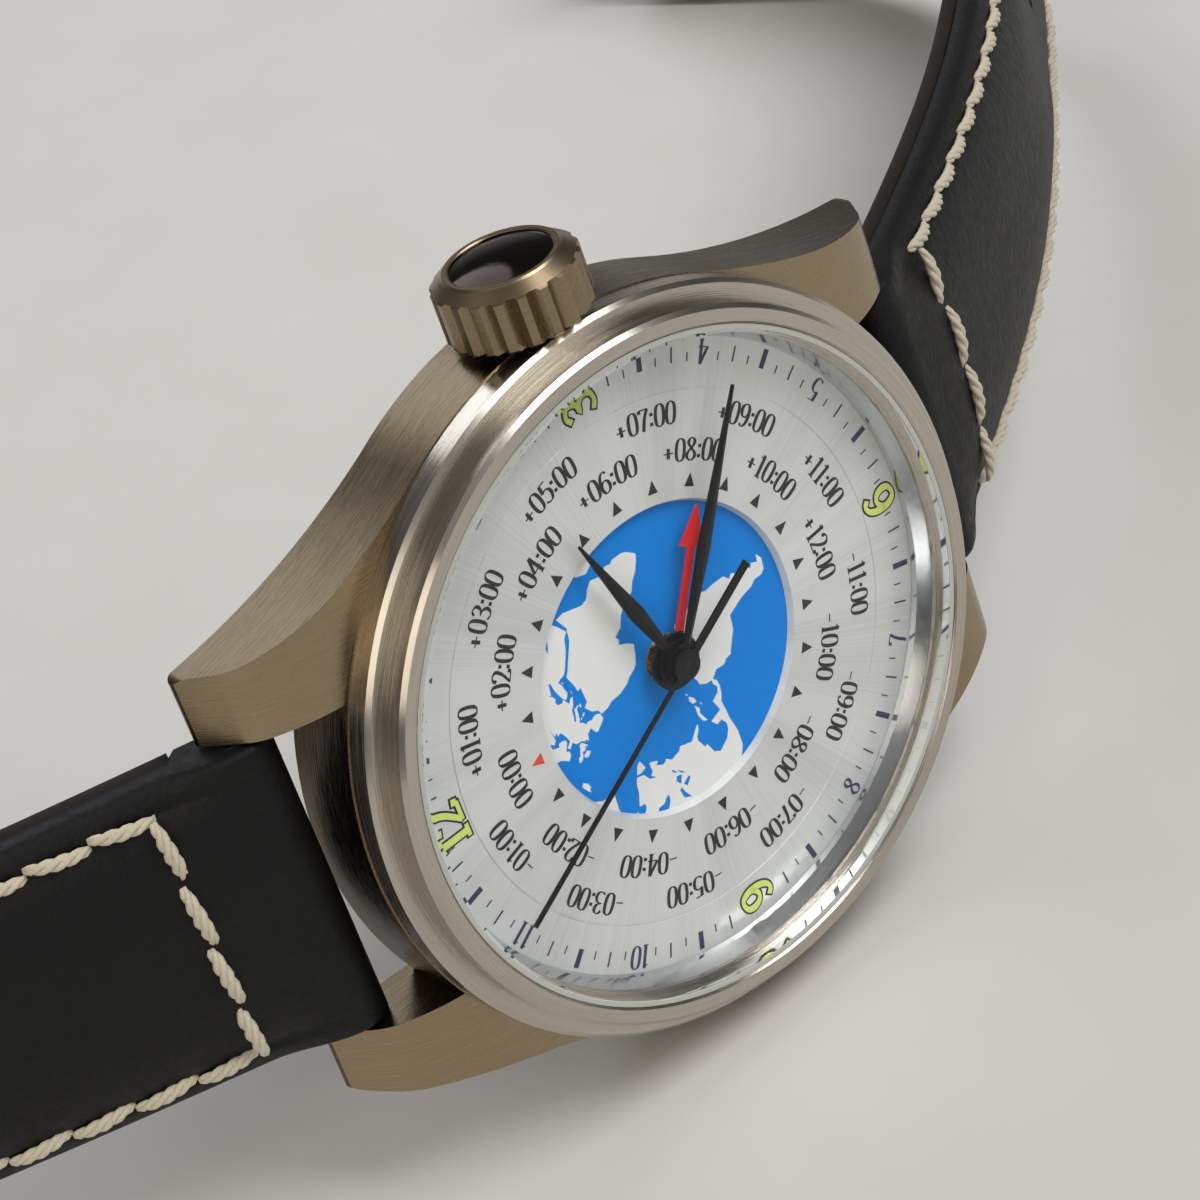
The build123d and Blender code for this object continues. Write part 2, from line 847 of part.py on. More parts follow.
def stem_pinion(start, length, teeth, gap_down):
    module = winding_radius * 2 / (teeth + tooth_height_share * 2)
    wheel = gear(teeth, module, 0, length, centre_place, 0.0, gap_down)
    wheel -= disc(stem_radius + pinion_bore_gap, -cut_over, length + cut_over)
    return Pos(start, 0, -stem_depth) * Rot(0, 90, 0) * wheel


def winding_pinion():
    return stem_pinion(winding_start, winding_length, winding_teeth, True)


def sliding_pinion():
    start = sliding_start
    end = start + sliding_length
    groove = sliding_length / 3
    body = stem_rod(winding_radius - free_gap, start, end)
    body += stem_pinion(end - groove, groove, winding_teeth, False)
    body -= stem_rod(stem_radius + pinion_bore_gap, start - cut_over, end + cut_over)
    waist = stem_rod(winding_radius, start + groove, start + groove * 2)
    waist -= stem_rod(winding_radius - free_gap - fit_gap, start + groove, start + groove * 2)
    return body - waist


def crown_wheel():
    place = crown_wheel_centre
    inner = crown_face_radius - crown_face_width
    body = ring(crown_face_radius, inner, crown_face_back, crown_face_top, place)
    pitch = math.tau / crown_wheel_teeth
    half = crown_face_radius * pitch * crown_face_gap_share / 2
    for gap in range(crown_wheel_teeth):
        cut = block(
            (inner - cut_over / 2, crown_face_radius + cut_over),
            (-half, half),
            (crown_face_top - crown_face_tooth, crown_face_top + cut_over),
        )
        turn = math.degrees(pitch) * (gap * 2 + 1) / 2
        body -= Pos(place[0], place[1], 0) * Rot(0, 0, turn) * cut
    body += disc(crown_face_radius - fine_break, crown_face_back, crown_face_back + crown_face_tooth, place)
    body += disc(winding_arbor_radius, ratchet_back, crown_face_back, place)
    towards = bearing(place, barrel_place)
    return body + gear(crown_upper_teeth, ratchet_module, ratchet_back, ratchet_top, place, towards, True)


def ratchet_wheel():
    towards = bearing(barrel_place, crown_wheel_centre)
    body = gear(ratchet_teeth, ratchet_module, ratchet_back, ratchet_top, barrel_place, towards)
    return body - disc(winding_arbor_radius, ratchet_back - cut_over, ratchet_top + cut_over, barrel_place)


def barrel_arbor():
    end = barrel_top + sliding_gap + winding_arbor_radius
    body = disc(winding_arbor_radius, ratchet_back, end, barrel_place)
    return body + disc(barrel_screw_radius, ratchet_back - fit_gap * 2, ratchet_back, barrel_place)


# Main plate, bridges and what fixes them
def main_plate():
    body = disc(movement_radius, plate_bottom, plate_top)
    body += ring(movement_radius, movement_radius - plate_rim_wall, plate_top, plate_rim_top)
    body += ring(movement_radius, movement_radius - plate_skirt_wall, ring_bottom, plate_bottom)
    channel_half = winding_radius + sliding_gap * 2
    body -= block(
        (stem_inner, movement_radius - plate_rim_wall),
        (-channel_half, channel_half),
        (plate_bottom - cut_over, plate_top + cut_over),
    )
    body -= stem_rod(stem_radius + running_gap, stem_inner, movement_radius + cut_over)
    pilot_end = stem_inner - stem_pilot_length - sliding_gap
    body -= stem_rod(stem_pilot_radius + running_gap, pilot_end, stem_inner)
    recess_radius = crown_face_radius + sliding_gap * 2
    body -= disc(recess_radius, plate_bottom - cut_over, crown_face_top + sliding_gap, crown_wheel_centre)
    for angle in bridge_post_angles + cock_post_angles:
        place = polar(post_orbit, angle)
        body += disc(post_radius, bridge_under, plate_bottom, place)
        body -= disc(screw_hole_radius, bridge_under - cut_over, plate_bottom, place)
    body -= disc(cannon_radius + running_gap, plate_bottom - cut_over, plate_top + cut_over)
    well_radius = winding_arbor_radius + running_gap
    body -= disc(well_radius, plate_bottom - cut_over, plate_bottom + well_radius, barrel_place)
    for place in (third_place, escape_place, balance_place, fork_place):
        body -= disc(pivot_radius + fit_gap, plate_bottom - cut_over, plate_bottom + jewel_thickness, place)
    for place, top in ((minute_wheel_place, hour_wheel_back), (transfer_place, gmt_wheel_back)):
        body += disc(motion_post_radius, plate_top, top, place)
    return body


def jewel_places():
    return [third_place, escape_place, centre_place]


def bridge_hole(radius, place):
    return disc(radius, bridge_back - cut_over, bridge_under + cut_over, place)


def train_bridge():
    body = disc(movement_radius - plate_skirt_wall - sliding_gap, bridge_back, bridge_under)
    body -= bridge_hole(balance_radius + free_gap * 2, balance_place)
    half_span = math.radians(cock_post_angles[1] - cock_post_angles[0]) / 2
    half_width = post_orbit * math.sin(half_span) + post_radius * 2
    body -= Rot(0, 0, balance_angle) * block(
        (balance_distance - balance_radius * cock_opening_share, movement_radius + cut_over),
        (-half_width, half_width),
        (bridge_back - cut_over, bridge_under + cut_over),
    )
    for angle in bridge_post_angles:
        body -= bridge_hole(screw_hole_radius, polar(post_orbit, angle))
    for place in jewel_places():
        body -= bridge_hole(jewel_radius + fit_gap, place)
    for place in (barrel_place, crown_wheel_centre):
        body -= bridge_hole(winding_arbor_radius + running_gap, place)
    return body


def balance_cock():
    shape = disc(cock_boss_radius, bridge_back, bridge_under, balance_place)
    feet = [polar(post_orbit, angle) for angle in cock_post_angles]
    for foot in feet:
        reach = distance_between(balance_place, foot)
        arm = block((0, reach), (-post_radius, post_radius), (bridge_back, bridge_under))
        shape += Pos(balance_place[0], balance_place[1], 0) * Rot(0, 0, bearing(balance_place, foot)) * arm
        shape += disc(cock_foot_radius, bridge_back, bridge_under, foot)
    for foot in feet:
        shape -= bridge_hole(screw_hole_radius, foot)
    return shape - bridge_hole(jewel_radius + fit_gap, balance_place)


def jewel(place):
    low = bridge_under - jewel_thickness
    body = disc(jewel_radius, low, bridge_under, place)
    return body - disc(pivot_radius + fit_gap, low - cut_over, bridge_under + cut_over, place)


def jewels():
    return Compound([jewel(place) for place in jewel_places() + [balance_place]])


def movement_screws():
    clamp_seat = ring_bottom - clamp_thickness - fit_gap * 2
    screws = []
    for angle in bridge_post_angles + cock_post_angles:
        screws.append(screw(polar(post_orbit, angle), bridge_back - fit_gap, bridge_screw_length, angle * 3))
    for angle in clamp_angles:
        length = clamp_reach * clamp_screw_share
        screws.append(screw(polar(clamp_screw_orbit, angle), clamp_seat, length, angle * 2))
    return Compound(screws)


# Going train
def barrel():
    radius = barrel_teeth * barrel_module / 2 - barrel_module * tooth_root_share
    tooth_back = barrel_top - pinion_height
    towards = bearing(barrel_place, centre_place)
    body = gear(barrel_teeth, barrel_module, tooth_back, barrel_top, barrel_place, towards)
    body += disc(radius - barrel_wall, barrel_back, tooth_back, barrel_place)
    bore = winding_arbor_radius + running_gap
    return body - disc(bore, barrel_back - cut_over, barrel_top + cut_over, barrel_place)


def centre_wheel():
    leaves = gear(
        centre_leaves, barrel_module, barrel_top - pinion_height, barrel_top,
        centre_place, bearing(centre_place, barrel_place), True,
    )
    wheel = gear(
        centre_teeth, centre_module, centre_wheel_back, centre_wheel_top,
        centre_place, bearing(centre_place, third_place),
    )
    pitch_radius = centre_teeth * centre_module / 2
    wheel -= crossings(
        cannon_radius * 2, pitch_radius - centre_module * wheel_rim_modules, wheel_arms, wheel_arm_width,
        centre_wheel_back, centre_wheel_top, centre_place,
    )
    body = leaves + wheel + disc(cannon_radius, centre_wheel_back, barrel_top)
    return body - disc(cannon_bore, centre_wheel_back - cut_over, barrel_top + cut_over)


def train_wheel(place, teeth, module, top, back, mesh_with):
    wheel = gear(teeth, module, back, top, place, bearing(place, mesh_with))
    pitch_radius = teeth * module / 2
    rim = pitch_radius - module * wheel_rim_modules
    return wheel - crossings(wheel_boss_radius, rim, wheel_arms, wheel_arm_width, back, top, place)


def pivot_reach():
    return jewel_thickness * pivot_share


def third_wheel():
    place = third_place
    wheel = train_wheel(place, third_teeth, third_module, third_wheel_top, third_wheel_back, centre_place)
    leaf_middle = (centre_wheel_top + centre_wheel_back) / 2
    leaves = gear(
        third_leaves, centre_module, third_wheel_top, leaf_middle + pinion_height / 2,
        place, bearing(place, centre_place), True,
    )
    low = bridge_under + sliding_gap
    high = plate_bottom - sliding_gap
    reach = pivot_reach() + sliding_gap
    return wheel + leaves + arbor(place, low, high, reach, reach)


def fourth_wheel():
    wheel = train_wheel(
        centre_place, fourth_teeth, fourth_module, fourth_wheel_top, fourth_wheel_back, escape_place
    )
    leaves = gear(
        fourth_leaves, third_module, fourth_wheel_top, centre_wheel_back - sliding_gap,
        centre_place, bearing(centre_place, third_place), True,
    )
    low = bridge_under + sliding_gap
    body = wheel + leaves + disc(winding_arbor_radius, fourth_wheel_back - fit_gap, fourth_wheel_top)
    body += disc(seconds_arbor_radius, low, seconds_hand_z + hub_thickness)
    return body + disc(pivot_radius, low - pivot_reach() - sliding_gap, low)


def escape_wheel():
    place = escape_place
    low = escape_wheel_top - wheel_thickness
    points = []
    pitch = math.tau / escape_teeth
    for tooth in range(escape_teeth):
        for radius_share, angle_share in escape_tooth_shares:
            angle = pitch * (tooth + angle_share)
            radius = escape_radius * radius_share
            points.append((radius * math.cos(angle), radius * math.sin(angle)))
    face = make_face(Polyline(*points, close=True))
    wheel = Pos(place[0], place[1], low) * extrude(face, wheel_thickness)
    rim = escape_radius * escape_rim_share
    wheel -= crossings(arbor_radius * 3, rim, escape_arms, fork_width, low, escape_wheel_top, place)
    leaf_middle = (fourth_wheel_top + fourth_wheel_back) / 2
    leaves = gear(
        escape_leaves, fourth_module, leaf_middle - pinion_height / 2, leaf_middle + pinion_height / 2,
        place, bearing(place, centre_place), True,
    )
    reach = pivot_reach() + sliding_gap
    low = bridge_under + sliding_gap
    return wheel + leaves + arbor(place, low, plate_bottom - sliding_gap, reach, reach, fork_width / 2)


def pallet_fork():
    place = fork_place
    top = escape_wheel_top
    low = top - wheel_thickness
    to_wheel = distance_between(place, escape_place)
    to_staff = distance_between(place, balance_place)
    pallet_orbit = escape_radius + fork_gap
    pallet_reach = pallet_orbit * math.sin(math.radians(pallet_spread))
    pallet_near = to_wheel - pallet_orbit * math.cos(math.radians(pallet_spread))
    lever_tip = to_staff - roller_radius * roller_reach_share
    anchor = to_wheel - pallet_orbit
    width = fork_width
    body = block((-lever_tip, anchor), (-width / 2, width / 2), (low, top))
    body += block((anchor - width, anchor), (-pallet_reach, pallet_reach), (low, top))
    for side in (1, -1):
        stone = block((anchor - width, pallet_near), (-width / 2, width / 2), (low, top))
        body += Pos(0, side * (pallet_reach - width / 2), 0) * stone
    body += disc(arbor_radius * 2, low, top)
    horn = block((-lever_tip - width, -lever_tip + width), (-width, width), (low, top))
    levels = (low - cut_over, top + cut_over)
    horn -= block((-lever_tip - width * 2, -lever_tip), (-width / 2, width / 2), levels)
    body += horn
    staff = disc(fork_width / 2, top - pinion_height, plate_bottom - sliding_gap)
    staff += disc(pivot_radius, plate_bottom - sliding_gap, plate_bottom + pivot_reach())
    body += staff
    return Pos(place[0], place[1], 0) * Rot(0, 0, bearing(place, escape_place)) * body


def balance_wheel():
    place = balance_place
    rim = ring(balance_radius, balance_radius - balance_rim_wall, balance_back, balance_top, place)
    arm_reach = balance_radius - fine_break
    arm_sides = (-balance_arm_half_width, balance_arm_half_width)
    arm = block((-arm_reach, arm_reach), arm_sides, (balance_back, balance_top - fine_break))
    rim += Pos(place[0], place[1], 0) * Rot(0, 0, balance_arm_angle) * arm
    reach = pivot_reach() + sliding_gap
    staff = arbor(place, bridge_under + sliding_gap, plate_bottom - sliding_gap, reach, reach)
    roller_top = escape_wheel_top - wheel_thickness * 2
    return rim + staff + disc(roller_radius, roller_top - wheel_thickness, roller_top, place)


def hairspring():
    top = balance_back - fit_gap
    low = bridge_under + fit_gap
    count = hairspring_turns * hairspring_steps
    half = hairspring_strip / 2
    path = []
    for index in range(count + 1):
        radius = hairspring_inner + (hairspring_outer - hairspring_inner) * index / count
        path.append((radius, math.tau * hairspring_turns * index / count))
    outside = [((r + half) * math.cos(a), (r + half) * math.sin(a)) for r, a in path]
    inside = [((r - half) * math.cos(a), (r - half) * math.sin(a)) for r, a in reversed(path)]
    face = make_face(Polyline(*outside, *inside, close=True))
    coil = Pos(0, 0, low) * extrude(face, top - low)
    collet = ring(hairspring_inner, arbor_radius + fit_gap, low, top)
    return Pos(balance_place[0], balance_place[1], 0) * (coil + collet)


# Motion work
def cannon_pinion():
    leaves = gear(
        cannon_teeth, cannon_module, minute_wheel_back - sliding_gap, minute_wheel_top,
        centre_place, bearing(centre_place, minute_wheel_place), True,
    )
    body = leaves + disc(cannon_radius, barrel_top + fit_gap, minute_hand_z + hub_thickness)
    return body - disc(cannon_bore, plate_bottom - cut_over, seconds_hand_z + cut_over)


def hour_wheel():
    wheel = gear(
        hour_teeth, hour_module, hour_wheel_back, hour_wheel_top,
        centre_place, bearing(centre_place, minute_wheel_place),
    )
    body = wheel + disc(hour_tube_radius, hour_wheel_back, hour_hand_z + hub_thickness)
    return body - disc(hour_bore, hour_wheel_back - cut_over, minute_hand_z + cut_over)


def gmt_wheel():
    wheel = gear(
        gmt_teeth, gmt_module, gmt_wheel_back, gmt_wheel_top,
        centre_place, bearing(centre_place, transfer_place),
    )
    body = wheel + disc(gmt_tube_radius, gmt_wheel_back, gmt_hand_z + hub_thickness)
    return body - disc(gmt_bore, gmt_wheel_back - cut_over, hour_hand_z + cut_over)


def minute_wheel():
    place = minute_wheel_place
    wheel = gear(
        minute_wheel_teeth, cannon_module, minute_wheel_back, minute_wheel_top,
        place, bearing(place, centre_place),
    )
    leaves = gear(
        minute_leaves, hour_module, minute_wheel_top, hour_wheel_top,
        place, bearing(place, centre_place), True,
    )
    bore = motion_post_radius + running_gap
    return wheel + leaves - disc(bore, minute_wheel_back - cut_over, hour_wheel_top + cut_over, place)


def transfer_wheel():
    place = transfer_place
    wheel_gap = gap_angle(
        bearing(centre_place, minute_wheel_place), hour_teeth, transfer_teeth, centre_place, place
    )
    wheel = gear(transfer_teeth, hour_module, hour_wheel_back, hour_wheel_top, place, wheel_gap, True)
    leaves = gear(
        transfer_leaves, gmt_module, hour_wheel_top, gmt_wheel_top,
        place, bearing(place, centre_place), True,
    )
    bore = motion_post_radius + running_gap
    return wheel + leaves - disc(bore, hour_wheel_back - cut_over, gmt_wheel_top + cut_over, place)


# Where a wheel needs a gap so that it meshes with a wheel whose teeth start at a given angle
def gap_angle(first_angle, teeth, own_teeth, other_place, place):
    past_tooth = (bearing(other_place, place) - first_angle) % (360 / teeth)
    return bearing(place, other_place) + past_tooth * teeth / own_teeth


# Automatic work
def automatic_bridge():
    shape = disc(rotor_hub_radius, auto_back, auto_top)
    half = auto_bridge_width / 2
    for angle in auto_foot_angles:
        shape += Rot(0, 0, angle) * block((0, auto_foot_orbit), (-half, half), (auto_back, auto_top))
        shape += disc(half, auto_back, bridge_back - glue_gap, polar(auto_foot_orbit, angle))
    return shape


def rotor_bearing():
    body = disc(rotor_pin_radius, rotor_back - fit_gap * 2, auto_back)
    return body + disc(rotor_cap_radius, weight_back, rotor_back - fit_gap * 2)


def rotor_plate():
    body = disc(rotor_radius, rotor_back, rotor_top) - rotor_other_half(rotor_back, rotor_top)
    body += disc(rotor_hub_radius, rotor_back, rotor_top)
    window_orbit = (rotor_hub_radius + rotor_radius - rotor_weight_width) / 2
    for angle in rotor_window_angles:
        place = polar(window_orbit, angle)
        body -= disc(rotor_window_radius, rotor_back - cut_over, rotor_top + cut_over, place)
    return body - disc(rotor_pin_radius + running_gap, rotor_back - cut_over, rotor_top + cut_over)


def rotor_other_half(low, high):
    reach = rotor_radius * 2
    return block((0, reach), (-reach, reach), (low - cut_over, high + cut_over))


def rotor_weight():
    body = ring(rotor_radius, rotor_radius - rotor_weight_width, weight_back, rotor_back)
    return body - rotor_other_half(weight_back, rotor_back)


# Hands
def hand_section(y, half_width, low, high):
    plane = Plane(origin=(0, y, low), x_dir=(1, 0, 0), z_dir=(0, 1, 0))
    points = [
        (-half_width, 0),
        (half_width, 0),
        (half_width, -hand_thickness),
        (0, low - high),
        (-half_width, -hand_thickness),
    ]
    return make_face(Polyline(*[plane.from_local_coords(point) for point in points], close=True))


def lance(length, half_width, hub_radius, z):
    neck = hub_radius * hand_root_share
    waist = length * hand_waist_share
    high = z + hand_thickness + hand_ridge
    tip_high = z + hand_thickness + hand_ridge * hand_tip_ridge_share
    sections = [
        hand_section(neck, half_width * hand_neck_share, z, high),
        hand_section(waist, half_width, z, high),
        hand_section(length, hand_tip_half_width, z, tip_high),
    ]
    return loft(sections, ruled=True)


def clocked(solid, angle):
    return Rot(0, 0, -angle) * solid


def hour_hand():
    hub = ring(hour_hub_radius, hour_tube_radius + fit_gap, hour_hand_z, hour_hand_z + hub_thickness)
    body = hub + lance(hour_hand_length, hour_hand_half_width, hour_hub_radius, hour_hand_z)
    return clocked(body - disc(hour_tube_radius + fit_gap, 0, hour_hand_z * 2), hour_hand_angle)


def minute_hand():
    hub = ring(minute_hub_radius, cannon_radius + fit_gap, minute_hand_z, minute_hand_z + hub_thickness)
    body = hub + lance(minute_hand_length, minute_hand_half_width, minute_hub_radius, minute_hand_z)
    return clocked(body - disc(cannon_radius + fit_gap, 0, minute_hand_z * 2), minute_hand_angle)


def seconds_hand():
    z = seconds_hand_z
    levels = (z, z + hand_thickness)
    body = disc(seconds_hub_radius, z, z + hub_thickness)
    body += block((-seconds_hand_half_width, seconds_hand_half_width), (0, seconds_hand_length), levels)
    body += block((-seconds_tail_half_width, seconds_tail_half_width), (-seconds_hand_tail, 0), levels)
    body -= disc(seconds_arbor_radius + fit_gap, z - cut_over, z + hub_thickness + cut_over)
    return clocked(body, seconds_hand_angle)


def gmt_hand():
    z = gmt_hand_z
    hub = ring(gmt_hub_radius, gmt_tube_radius + fit_gap, z, z + hub_thickness)
    arrow_base = gmt_hand_length - gmt_arrow_length
    root = gmt_hub_radius * hand_root_share
    shaft = block((-gmt_hand_half_width, gmt_hand_half_width), (root, arrow_base), (z, z + hand_thickness))
    shaft -= disc(gmt_tube_radius + fit_gap, z - cut_over, z + hub_thickness + cut_over)
    left = (-gmt_arrow_half_width, arrow_base)
    right = (gmt_arrow_half_width, arrow_base)
    arrow = make_face(Polyline(left, right, (0, gmt_hand_length), close=True))
    body = hub + shaft + Pos(0, 0, z) * extrude(arrow, hand_thickness)
    return clocked(body, gmt_hand_angle)


# Spring bars: a tube with one fixed tip and one sprung tip
def spring_bar(side):
    low_end = (Align.CENTER, Align.CENTER, Align.MIN)
    body = Cylinder(bar_radius, bar_half_length * 2)
    well = bar_tip_inside + bar_tip_travel + free_gap
    bore = Cylinder(bar_tip_radius + running_gap, well + cut_over, align=low_end)
    body -= Pos(0, 0, bar_half_length - well) * bore
    body += Pos(0, 0, -bar_tip_end) * Cylinder(bar_tip_radius, bar_tip_length, align=low_end)
    return Pos(0, side * bar_reach, -bar_depth) * Rot(0, 90, 0) * body


def spring_bar_tip(side):
    length = bar_tip_length + bar_tip_inside
    tip = Cylinder(bar_tip_radius, length, align=(Align.CENTER, Align.CENTER, Align.MIN))
    return Pos(bar_tip_end - length, side * bar_reach, -bar_depth) * Rot(0, 90, 0) * tip


# Strap path in the plane of 12 o'clock and the dial's normal
def strap_station(path, at):
    y, z = bar_reach, -bar_depth
    angle, stretches = path
    left = at
    for length, turn in stretches:
        part = min(left, length)
        step_turn = math.radians(turn * part / length)
        heading = math.radians(angle) + step_turn / 2
        chord = part * math.sin(step_turn / 2) / (step_turn / 2) if step_turn else part
        y += chord * math.cos(heading)
        z -= chord * math.sin(heading)
        angle += turn * part / length
        left -= part
        if left <= 0:
            break
    return y, z, angle


def strap_length(path):
    return sum(length for length, turn in path[1])


def strap_plane(path, at):
    y, z, angle = strap_station(path, at)
    heading = math.radians(angle)
    return Plane(origin=(0, y, z), x_dir=(1, 0, 0), z_dir=(0, math.cos(heading), -math.sin(heading)))


def blend(first, second, share):
    share = max(0.0, min(1.0, share))
    smooth = share * share * (3 - 2 * share)
    return first + (second - first) * smooth


def strap_sizes(at, total, rounded_tip):
    thin = (at - strap_pad_length) / (strap_thin_length - strap_pad_length)
    width = strap_width + (strap_end_width - strap_width) * min(1.0, at / strap_thin_length)
    if rounded_tip and at > total - strap_tip_length:
        share = (at - total + strap_tip_length) / strap_tip_length
        width *= strap_tip_width_share + (1 - strap_tip_width_share) * math.sqrt(max(0.0, 1 - share**2))
    lift = min(1.0, at / lining_start)
    outer_full = strap_loop_radius + (strap_outer_pad - strap_loop_radius) * lift
    inner = blend(strap_inner_pad, strap_inner_thin, thin)
    outer = blend(outer_full, strap_outer_thin, thin)
    slope = blend(strap_edge_slope, strap_edge_slope_thin, thin)
    edge_low = blend(strap_edge_height - strap_inner_pad, strap_outer_thin - strap_edge_drop_thin, thin)
    return width / 2, inner, outer, slope, edge_low


def upper_section(path, at, total, rounded_tip, full_depth):
    half, inner, outer, slope, edge = strap_sizes(at, total, rounded_tip)
    low = -inner if full_depth else -inner + lining_thickness + glue_gap
    shoulder = edge + (outer - edge) * strap_shoulder_rise_share
    top_half = half - slope * strap_shoulder_width_share
    points = [
        (-half, low),
        (half, low),
        (half, edge),
        (half - slope, shoulder),
        (top_half, outer),
        (-top_half, outer),
        (-half + slope, shoulder),
        (-half, edge),
    ]
    plane = strap_plane(path, at)
    return make_face(Polyline(*[plane.from_local_coords((x, -n)) for x, n in points], close=True))


def lining_section(path, at, total, rounded_tip):
    half, inner, outer, slope, edge = strap_sizes(at, total, rounded_tip)
    plane = strap_plane(path, at)
    back = -inner + lining_thickness
    points = [(-half, -inner), (half, -inner), (half, back), (-half, back)]
    return make_face(Polyline(*[plane.from_local_coords((x, -n)) for x, n in points], close=True))


def stations(start, end, extra=()):
    count = max(2, round((end - start) / strap_station_step))
    places = [start + (end - start) * index / count for index in range(count + 1)]
    return sorted(set(places) | set(extra))


def tip_stations(total):
    return [total - strap_tip_length * share for share in strap_tip_shares]


def strap_holes(path, total):
    holes = []
    for index in range(strap_hole_count):
        at = total - strap_hole_first - index * strap_hole_pitch
        hole = Cylinder(strap_hole_radius, (strap_inner_pad + strap_outer_pad) * 2)
        holes.append(strap_plane(path, at).location * Rot(90, 0, 0) * hole)
    return holes


def strap_upper_12():
    path = strap_12_path
    total = strap_length(path)
    end = total - buckle_loop_radius * strap_end_share
    starts = stations(0.0, lining_start)
    body = loft([upper_section(path, at, total, False, True) for at in starts], ruled=True)
    places = stations(lining_start, end)
    body += loft([upper_section(path, at, total, False, False) for at in places], ruled=True)
    body += cylinder_at(path, 0.0, strap_loop_radius, strap_width)
    body += cylinder_at(path, total, buckle_loop_radius, strap_end_width)
    body -= cylinder_at(path, 0.0, bar_radius + running_gap, strap_width * 2)
    body -= cylinder_at(path, total, buckle_bar_radius + running_gap, strap_width * 2)
    return body - tongue_slot()


def cylinder_at(path, at, radius, width):
    return strap_plane(path, at).location * Rot(0, 90, 0) * Cylinder(radius, width)


def tongue_slot():
    total = strap_length(strap_12_path)
    plane = strap_plane(strap_12_path, total)
    slot = block(
        (-tongue_slot_half_width, tongue_slot_half_width),
        (-strap_loop_radius * 3, strap_loop_radius * 3),
        (-tongue_slot_length, strap_loop_radius * 2),
    )
    return plane.location * slot


def strap_lining_12():
    path = strap_12_path
    total = strap_length(path)
    end = total - tongue_slot_length - free_gap
    places = stations(lining_start + glue_gap, end)
    return loft([lining_section(path, at, total, False) for at in places], ruled=True)


def strap_upper_6():
    path = strap_6_path
    total = strap_length(path)
    starts = stations(0.0, lining_start)
    body = loft([upper_section(path, at, total, True, True) for at in starts], ruled=True)
    places = stations(lining_start, total, tip_stations(total))
    body += loft([upper_section(path, at, total, True, False) for at in places], ruled=True)
    body += cylinder_at(path, 0.0, strap_loop_radius, strap_width)
    body -= cylinder_at(path, 0.0, bar_radius + running_gap, strap_width * 2)
    for hole in strap_holes(path, total):
        body -= hole
    return mirror(body, about=Plane.XZ)


def strap_lining_6():
    path = strap_6_path
    total = strap_length(path)
    places = stations(lining_start + glue_gap, total, tip_stations(total))
    body = loft([lining_section(path, at, total, True) for at in places], ruled=True)
    for hole in strap_holes(path, total):
        body -= hole
    return mirror(body, about=Plane.XZ)


# Buckle: its own directions are +X along the strap away from the watch, +Y across, +Z outward
def buckle_location():
    plane = strap_plane(strap_12_path, strap_length(strap_12_path))
    outward = plane.y_dir * -1
    return Plane(origin=plane.origin, x_dir=plane.z_dir, z_dir=outward).location


def buckle_frame():
    outer = RectangleRounded(
        buckle_length + buckle_heel, buckle_outer_half * 2, buckle_corner_radius
    )
    plate = extrude(Pos((buckle_length - buckle_heel) / 2, 0) * outer, buckle_thickness / 2, both=True)
    window = block(
        (-buckle_heel - cut_over, buckle_inner_end),
        (-buckle_inner_half, buckle_inner_half),
        (-buckle_thickness, buckle_thickness),
    )
    plate -= window
    plate -= Rot(90, 0, 0) * Cylinder(buckle_pin_radius + fit_gap, buckle_outer_half * 2 - buckle_arm_width)
    notch = block(
        (buckle_inner_end - cut_over, buckle_length + cut_over),
        (-tongue_width / 2 - sliding_gap, tongue_width / 2 + sliding_gap),
        (buckle_thickness / 2 - tongue_thickness * tongue_sink_share, buckle_thickness + cut_over),
    )
    return buckle_location() * (plate - notch)


def buckle_bar():
    pin_length = buckle_outer_half * 2 - buckle_arm_width - fit_gap * 2
    body = Cylinder(buckle_bar_radius, buckle_inner_half * 2 - fit_gap * 2)
    return buckle_location() * Rot(90, 0, 0) * (body + Cylinder(buckle_pin_radius, pin_length))


def buckle_tongue():
    rest = buckle_thickness / 2 - tongue_thickness * tongue_sink_share + fit_gap
    eye = buckle_loop_radius
    root = eye * tongue_root_share
    end_top = rest + tongue_thickness * tongue_end_share
    profile = Polyline(
        (0, -root),
        (eye, -root),
        (buckle_inner_end * tongue_root_share, rest - tongue_thickness * tongue_bend_share),
        (buckle_inner_end, rest),
        (buckle_length + tongue_overhang, rest),
        (buckle_length + tongue_overhang, end_top),
        (buckle_inner_end, rest + tongue_thickness),
        (eye, end_top),
        (0, root),
        close=True,
    )
    bar = extrude(make_face(Plane.XZ * profile), tongue_width / 2, both=True)
    bar += Rot(90, 0, 0) * Cylinder(eye, tongue_width)
    bar -= Rot(90, 0, 0) * Cylinder(buckle_bar_radius + running_gap, tongue_width * 2)
    return buckle_location() * bar


def keeper(at):
    half = strap_sizes(at - sliding_keeper_travel, fixed_keeper_place, False)[0] + keeper_gap
    low = -strap_inner_thin - keeper_gap
    high = low + (strap_inner_thin + strap_outer_thin) * 2 + keeper_gap * 2
    outer = block(
        (-keeper_length / 2, keeper_length / 2),
        (-half - keeper_wall, half + keeper_wall),
        (low - keeper_wall, high + keeper_wall),
    )
    outer = fillet(outer.edges().filter_by(Axis.X), keeper_round)
    hole = block((-keeper_length, keeper_length), (-half, half), (low, high))
    plane = strap_plane(strap_12_path, at)
    local = Plane(origin=plane.origin, x_dir=plane.z_dir, z_dir=plane.y_dir * -1)
    return local.location * (outer - hole)


def fixed_keeper():
    return keeper(fixed_keeper_place)


def sliding_keeper():
    return keeper(sliding_keeper_place)


